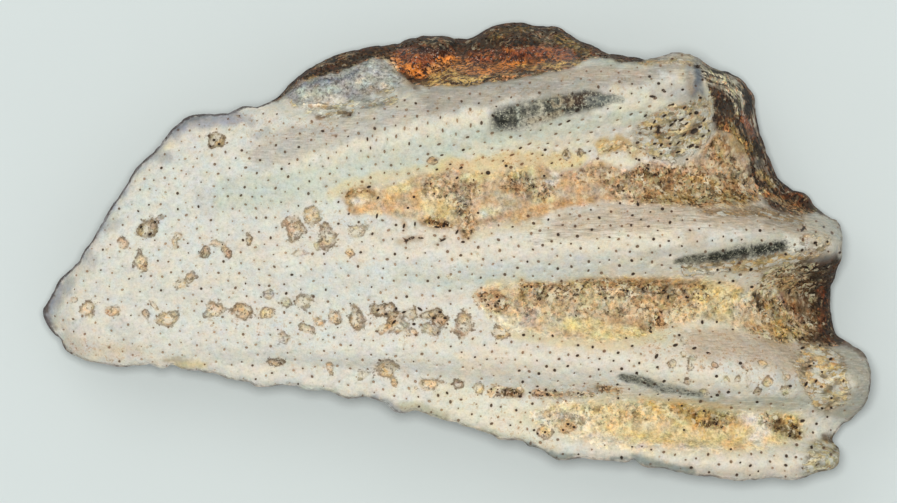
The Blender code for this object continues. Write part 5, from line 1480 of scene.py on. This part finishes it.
wallFinish = {  # growth lines along the side below the rim, faint flutes down it
    "tone": (1.0, {"layers": 1.1, "flutes": 0.9, "fine": 0.8}),
    "bumps": {"layers": 0.03, "flutes": 0.05},
    "touches": [
        ("layers", 0.52, 0.62, 0.55, "in", (0.86, 0.72, 0.55)),
        ("flutes", 0.44, 0.36, 0.5, "in", (0.62, 0.52, 0.44)),
    ],
}
holeFinish = {
    "hollow": (0.07, 0.05, 0.032), "hollowCover": 0.8, "mouth": (0.74, 0.60, 0.50),
    "faintThroat": (0.235, 0.150, 0.112), "darkThroat": (0.052, 0.043, 0.035),
    "paintedRimShade": (0.075, 0.060, 0.055), "northWestFrom": (17.0, 14.0),
}


def toothLook(wire, place):
    # every mark on the surface and every noise, by name
    look = {name: readMark(wire, name) for name in (*markNames, "pore", "side", "gap", "arc")}
    look.update({name: speckle(wire, place, *numbers) for name, numbers in noises.items()})
    patches, lumps, streaky = look["patches"], look["lumps"], look["streaky"]

    crooked = speckle(wire, place, 5.0, output="Color").lean((0.30, 0.30, 0.30), place)
    slanted = wire.make("ShaderNodeMapping", {"vector_type": "POINT"}, {
        "Vector": crooked, "Rotation": (0.0, 0.0, -0.62), "Scale": (1.0, 2.6, 1.0)})
    for name, scale in grainScales.items():
        cells = wire.make("ShaderNodeTexVoronoi", {"feature": "F1"}, {
            "Vector": slanted if name == "splinter" else crooked, "Scale": scale, "Randomness": 1.0}, "Color")
        look[name + "Tone"], look[name + "Hue"], look[name + "Pick"] = colourParts(cells)

    long = wire.make("ShaderNodeMapping", {"vector_type": "POINT"}, {
        "Vector": place, "Rotation": (0.0, 0.0, 0.14), "Scale": (0.9, 6.5, 2.0)})
    lanes = wire.make("ShaderNodeCombineXYZ", {}, {
        0: look["gap"] + (patches - 0.5) * 0.12, 1: look["arc"] * 0.10, 2: 0.0})
    alongWall = wire.make("ShaderNodeCombineXYZ", {}, {0: look["arc"] * 0.7, 1: look["side"] * 16.0, 2: 0.0})
    downWall = wire.make("ShaderNodeCombineXYZ", {}, {0: look["arc"] * 5.0, 1: look["side"] * 2.0, 2: 0.0})
    look["streak"] = speckle(wire, long, 1.0, 3.0, 0.65, 0.5)
    look["dashes"] = speckle(wire, long, 2.3, 2.0, 0.6, 0.3)
    look["strands"] = speckle(wire, lanes, 7.0, 3.0, 0.65, 0.1)
    look["threads"] = look["strands"] * 0.55 + look["fine"] * 0.45
    look["layers"] = speckle(wire, alongWall, 1.0, 3.0, 0.6, 0.3)
    look["flutes"] = speckle(wire, downWall, 1.0, 3.0, 0.6, 0.3)

    red, green, _ = colourParts(speckle(wire, place, 2.3, 3.0, 0.6, output="Color"))
    look["warm"], look["pink"] = red - 0.5, green - 0.5
    look["crowd"] = look["gritty"] * lumps.between(0.31, 0.50)
    look["streakyPatch"] = streaky * patches.between(0.46, 0.58)
    look["patchWide"] = patches.between(0.38, 0.52)
    look["lumpHigh"], look["lumpLow"] = lumps.between(0.42, 0.58), lumps.between(0.56, 0.44)
    look["lumpWide"] = lumps.between(0.36, 0.52)
    return look


def pitted(look, colour):
    f = pitFinish
    wander = uneven(look, look["reach"], f["wander"])
    floor = skin(look, washed(look, colour, f["wash"]), f)
    colour = wander.between(1.05, 0.85).blend(colour, floor)
    ringLine = wander.between(0.58, 0.80) * wander.between(1.12, 0.96) * look["ring"]
    ringLine = ringLine * (look["patches"].between(0.58, 0.46) * 0.80 + 0.20)
    return (ringLine * f["lineCover"]).blend(colour, f["line"])


def holed(wire, look, colour):
    # painted shade in the hollows of the relief, pores with a soft mouth, and a painted shade line along the
    # rim
    f = holeFinish
    # painted shade in the low spots of the relief
    colour = (look["hollow"] * f["hollowCover"]).blend(colour, f["hollow"])
    mouth = look["pore"].between(0.02, 0.30).blend(colour, colour.tinted(f["mouth"]))
    throat = look["pore"].between(0.25, 0.70).blend(f["faintThroat"], f["darkThroat"])
    colour = wire.sum("MINIMUM", look["pore"] * 1.35 - 0.08, 0.95).blend(mouth, throat)
    # painted shade: a dark line just inside the rim on the upper side, stronger on the north-west edge
    northWest = look["arc"].between(*f["northWestFrom"])
    outlined = uneven(look, 0.45 + northWest * 0.40, {"patches": 2.2, "lumps": 0.8})
    outlined = wire.sum("MAXIMUM", wire.sum("MINIMUM", outlined, 0.95), 0.0)
    paintedRimShade = uneven(look, look["gap"], {"fine": 0.14, "patches": 0.12}).between(0.12, 0.05)
    return (paintedRimShade * outlined * (1.0 - look["side"])).blend(colour, f["paintedRimShade"])


def toothMaterial():
    material, tree, end, wire, place = startMaterial("fossil_tooth")
    tint = readMark(wire, "tint", "Color")
    look = toothLook(wire, place)
    patches, matrix, fibre = look["patches"], look["matrix"], look["fibre"]
    inCrumble = raggedEdge(look, "crumble", crumbleFinish["edge"])
    inMatrix = raggedEdge(look, "matrix", mudFinish["edge"])
    inBone = raggedEdge(look, "bone", boneFinish["edge"])
    inRust = raggedEdge(look, "rust", rustFinish["edge"])
    inWear = raggedEdge(look, "wear", wearFinish["edge"])
    onWall = look["side"].between(0.01, 0.08) * (1.0 - inBone)

    wash = crownFinish["wash"]
    colour = skin(look, washed(look, tint, wash), crownFinish)
    chipped = skin(look, washed(look, colour, wash), chipFinish)
    colour = (look["chip"] * chipFinish["cover"]).blend(colour, chipped)
    colour = inCrumble.blend(colour, skin(look, colour.tinted(crumbleFinish["tint"]), crumbleFinish))
    colour = pitted(look, colour)
    colour = inMatrix.blend(colour, skin(look, washed(look, tint, mudFinish["wash"]), mudFinish))
    colour = inBone.blend(colour, skin(look, tint.tinted(boneFinish["tint"]), boneFinish))
    sheaf = touchUp(look, colour, fibreFinish["touches"])
    colour = (fibre * shareOf(look, fibreFinish["cover"])).blend(colour, sheaf)
    colour = inRust.blend(colour, skin(look, tint, rustFinish))
    colour = inWear.blend(colour, skin(look, tint, wearFinish))
    colour = onWall.blend(colour, skin(look, colour, wallFinish))
    colour = holed(wire, look, colour)

    crownRough, boneRough = crownFinish["roughness"], boneFinish["roughness"]
    roughness = crownRough + (patches - 0.5) * 0.3
    roughness = roughness + inMatrix * (mudFinish["roughness"] - crownRough)
    roughness = roughness + inBone * (boneRough - crownRough) * (1.0 - inMatrix)
    roughness = roughness + inRust * (rustFinish["roughness"] - boneRough)
    height = (1.0 - matrix) * shareOf(look, crownFinish["bumps"])
    layers = [(matrix, mudFinish), (onWall, wallFinish), (inBone, boneFinish), (inRust, rustFinish),
              (inWear, wearFinish), (inCrumble, crumbleFinish), (fibre, fibreFinish)]
    for cover, finish in layers:
        height = height + cover * shareOf(look, finish["bumps"])
    finishMaterial(tree, end, wire, colour, wire.sum("MINIMUM", roughness, 0.98), height, specular=0.22)
    return material


toothSkin = toothMaterial()
tooth.data.materials.append(toothSkin)


# Grains of matrix in the furrows and crumbs on the bone, scattered by Geometry Nodes

matrixGrains = {"Spacing": 0.15 * mm, "Density": 9.0e7, "Size": 0.055 * mm, "Flat": 0.55, "Seed": 7}
boneCrumbs = {"Spacing": 0.175 * mm, "Density": 6.0e7, "Size": 0.058 * mm, "Flat": 0.60, "Seed": 19}


def buildGrains(ports):
    spots = spotPorts(ports)
    ball = spots.make("GeometryNodeMeshIcoSphere", {}, {"Radius": 1.0, "Subdivisions": 1})
    small = ports["Size"] * 0.45
    flat = ports["Size"] * ports["Flat"]
    lowSize = spots.make("ShaderNodeCombineXYZ", {}, {0: small, 1: small, 2: small * 0.7})
    highSize = spots.make("ShaderNodeCombineXYZ", {}, {0: ports["Size"] * 1.25, 1: ports["Size"], 2: flat})
    scale = spots.make("FunctionNodeRandomValue", {"data_type": "FLOAT_VECTOR"},
                       {0: lowSize, 1: highSize, "Seed": ports["Seed"]})
    turn = spots.make("FunctionNodeRandomValue", {"data_type": "FLOAT_VECTOR"},
                      {0: (0.0, 0.0, 0.0), 1: (0.7, 0.7, 6.28), "Seed": ports["Seed"]})
    turned = spots.make("FunctionNodeEulerToRotation", {}, {"Euler": turn})
    many = spots.make("GeometryNodeInstanceOnPoints", {}, {
        "Points": spots, "Instance": ball, "Rotation": turned, "Scale": scale})
    tone = spots.make("FunctionNodeRandomValue", {"data_type": "FLOAT"},
                      {2: 0.0, 3: 1.0, "Seed": ports["Seed"]}, 1)
    kept = spots.make("GeometryNodeStoreNamedAttribute", {"data_type": "FLOAT", "domain": "INSTANCE"},
                      {"Geometry": many, "Name": "tone", "Value": tone})
    real = spots.make("GeometryNodeRealizeInstances", {}, {"Geometry": kept})
    return spots.make("GeometryNodeSetMaterial", {}, {"Geometry": real, "Material": ports["Material"]})


def sheetFor(name, room):
    # the part of the surface that takes grains, with how thickly they lie
    keep = room[faces].max(axis=1) > 0.02
    return linkObject(name, plainMesh(name, points, faces[keep], {"room": room}, colours))


grainTouches = [
    ("hue", 0.62, 0.70, 0.6, "in", (1.05, 0.80, 0.58)),
    ("hue", 0.30, 0.22, 0.5, "in", (0.82, 0.88, 0.66)),
]


def grainMaterial(name, darkShare):
    material, tree, end, wire, place = startMaterial(name)
    tone = readMark(wire, "tone")
    tint = readMark(wire, "tint", "Color")
    fine = speckle(wire, place, 9.0, 2.0, 0.6)
    stops = [
        (0.0, (0.12, 0.08, 0.06)), (darkShare, (0.45, 0.36, 0.29)), (darkShare + 0.10, (0.85, 0.78, 0.70)),
        (0.72, (1.02, 0.99, 0.93)), (0.90, (1.14, 1.12, 1.06)), (1.0, (1.35, 1.34, 1.28)),
    ]
    ramp = wire.make("ShaderNodeValToRGB", {"stops": stops}, {0: tone}, "Color")
    hue = wire.sum("FRACT", tone * 7.0, 0.0)
    colour = touchUp({"hue": hue}, tint.tinted(ramp).scaled(0.75 + fine * 0.5), grainTouches)
    finishMaterial(tree, end, wire, colour, 0.80 + (fine - 0.5) * 0.3, fine * 0.012, specular=0.2)
    return material


def tintedBy(mesh, source):
    # each grain takes the broad colour of the nearest place on the surface
    tree = KDTree(len(source))
    for k, p in enumerate(source):
        tree.insert(Vector(p) * mm, k)
    tree.balance()
    layer = mesh.attributes.get("tint") or mesh.attributes.new("tint", "FLOAT_COLOR", "POINT")
    near = [tree.find(p.co)[1] for p in mesh.vertices]
    full = np.column_stack([np.clip(colours[near], 0.0, 1.0), np.ones(len(near))])
    layer.data.foreach_set("color", full.astype(np.float32).ravel())


def scatter(name, room, numbers, material):
    sheet = sheetFor(name + "_sheet", room)
    values = {**numbers, "Material": material}
    made = runTree(sheet, scatterTree(name, values, buildGrains), values, name)
    bpy.data.objects.remove(sheet)
    tintedBy(made, points)
    made.materials.clear()
    made.materials.append(material)
    piece = linkObject(name, made)
    print(name + ":", len(made.polygons), "faces")
    return piece


matrixRoom = smooth(marks["matrix"], 0.5, 0.9) * smooth(marks["gritty"], 0.1, 0.9) * (marks["side"] == 0.0)
grains = scatter("furrow_grains", matrixRoom, matrixGrains, grainMaterial("matrix_grain", 0.16))
boneRoom = smooth(marks["bone"] - marks["rust"] - 0.5 * marks["fibre"], 0.4, 0.9) * (marks["side"] == 0.0)
boneRoom = boneRoom * smooth(marks["gap"], 0.08, 0.22)
crumbs = scatter("bone_crumbs", boneRoom, boneCrumbs, grainMaterial("bone_crumb", 0.30))


# Who rides on what

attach(tooth, "root")
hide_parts(node)
for piece in (grains, crumbs):
    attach(piece, "root")


# Floor, light and camera

stageLook = {
    "floorHalf": 0.6, "floorColour": (0.705, 0.765, 0.745), "floorRoughness": 0.9,
    "lamps": {"overhead": ((-0.004, 0.008, 0.46), 0.07, 1.12), "panel": ((-0.14, 0.20, 0.40), 0.30, 0.20)},
    "skyColour": (0.96, 0.98, 1.0), "skyStrength": 0.40,
    "lens": 800.0, "sensor": 36.0, "focusHeight": 5.0,
}


def setStage():
    s = stageLook
    half = s["floorHalf"]
    mesh = bpy.data.meshes.new("floor")
    corners = [(-half, -half, 0), (half, -half, 0), (half, half, 0), (-half, half, 0)]
    mesh.from_pydata(corners, [], [(0, 1, 2, 3)])
    floor = linkObject("floor", mesh)
    material, tree, end, wire, place = startMaterial("pale_floor")
    cloud = speckle(wire, place, 0.12, 2.0, 0.5)
    low, high = (tuple(c * k for c in s["floorColour"]) for k in (0.98, 1.02))
    finishMaterial(tree, end, wire, cloud.blend(low, high), s["floorRoughness"], cloud * 0.01, specular=0.2)
    floor.data.materials.append(material)
    for name, (place, wide, power) in s["lamps"].items():
        lamp = bpy.data.lights.new(name, "AREA")
        lamp.shape = "DISK"
        lamp.size = wide
        lamp.energy = power
        holder = linkObject(name, lamp)
        holder.location = place
        holder.rotation_euler = (-Vector(place)).to_track_quat("-Z", "Y").to_euler()
    scene = bpy.context.scene
    world = bpy.data.worlds.new("studio")
    scene.world = world
    world.use_nodes = True
    backdrop = world.node_tree.nodes["Background"]
    backdrop.inputs["Color"].default_value = (*s["skyColour"], 1.0)
    backdrop.inputs["Strength"].default_value = s["skyStrength"]
    scene.view_settings.view_transform = "Standard"

    camera = bpy.data.cameras.new("camera")
    camera.lens, camera.sensor_width = s["lens"], s["sensor"]
    viewWide = photo["wide"] / perMm * mm
    back = viewWide * s["lens"] / s["sensor"]
    camera.clip_start, camera.clip_end = back * 0.5, back * 2.0
    middle = toMm([(photo["wide"] / 2.0, photo["high"] / 2.0)])[0] * mm
    eye = linkObject("camera", camera)
    eye.location = (middle[0], middle[1], s["focusHeight"] * mm + back)
    scene.camera = eye


setStage()
print("stage set")
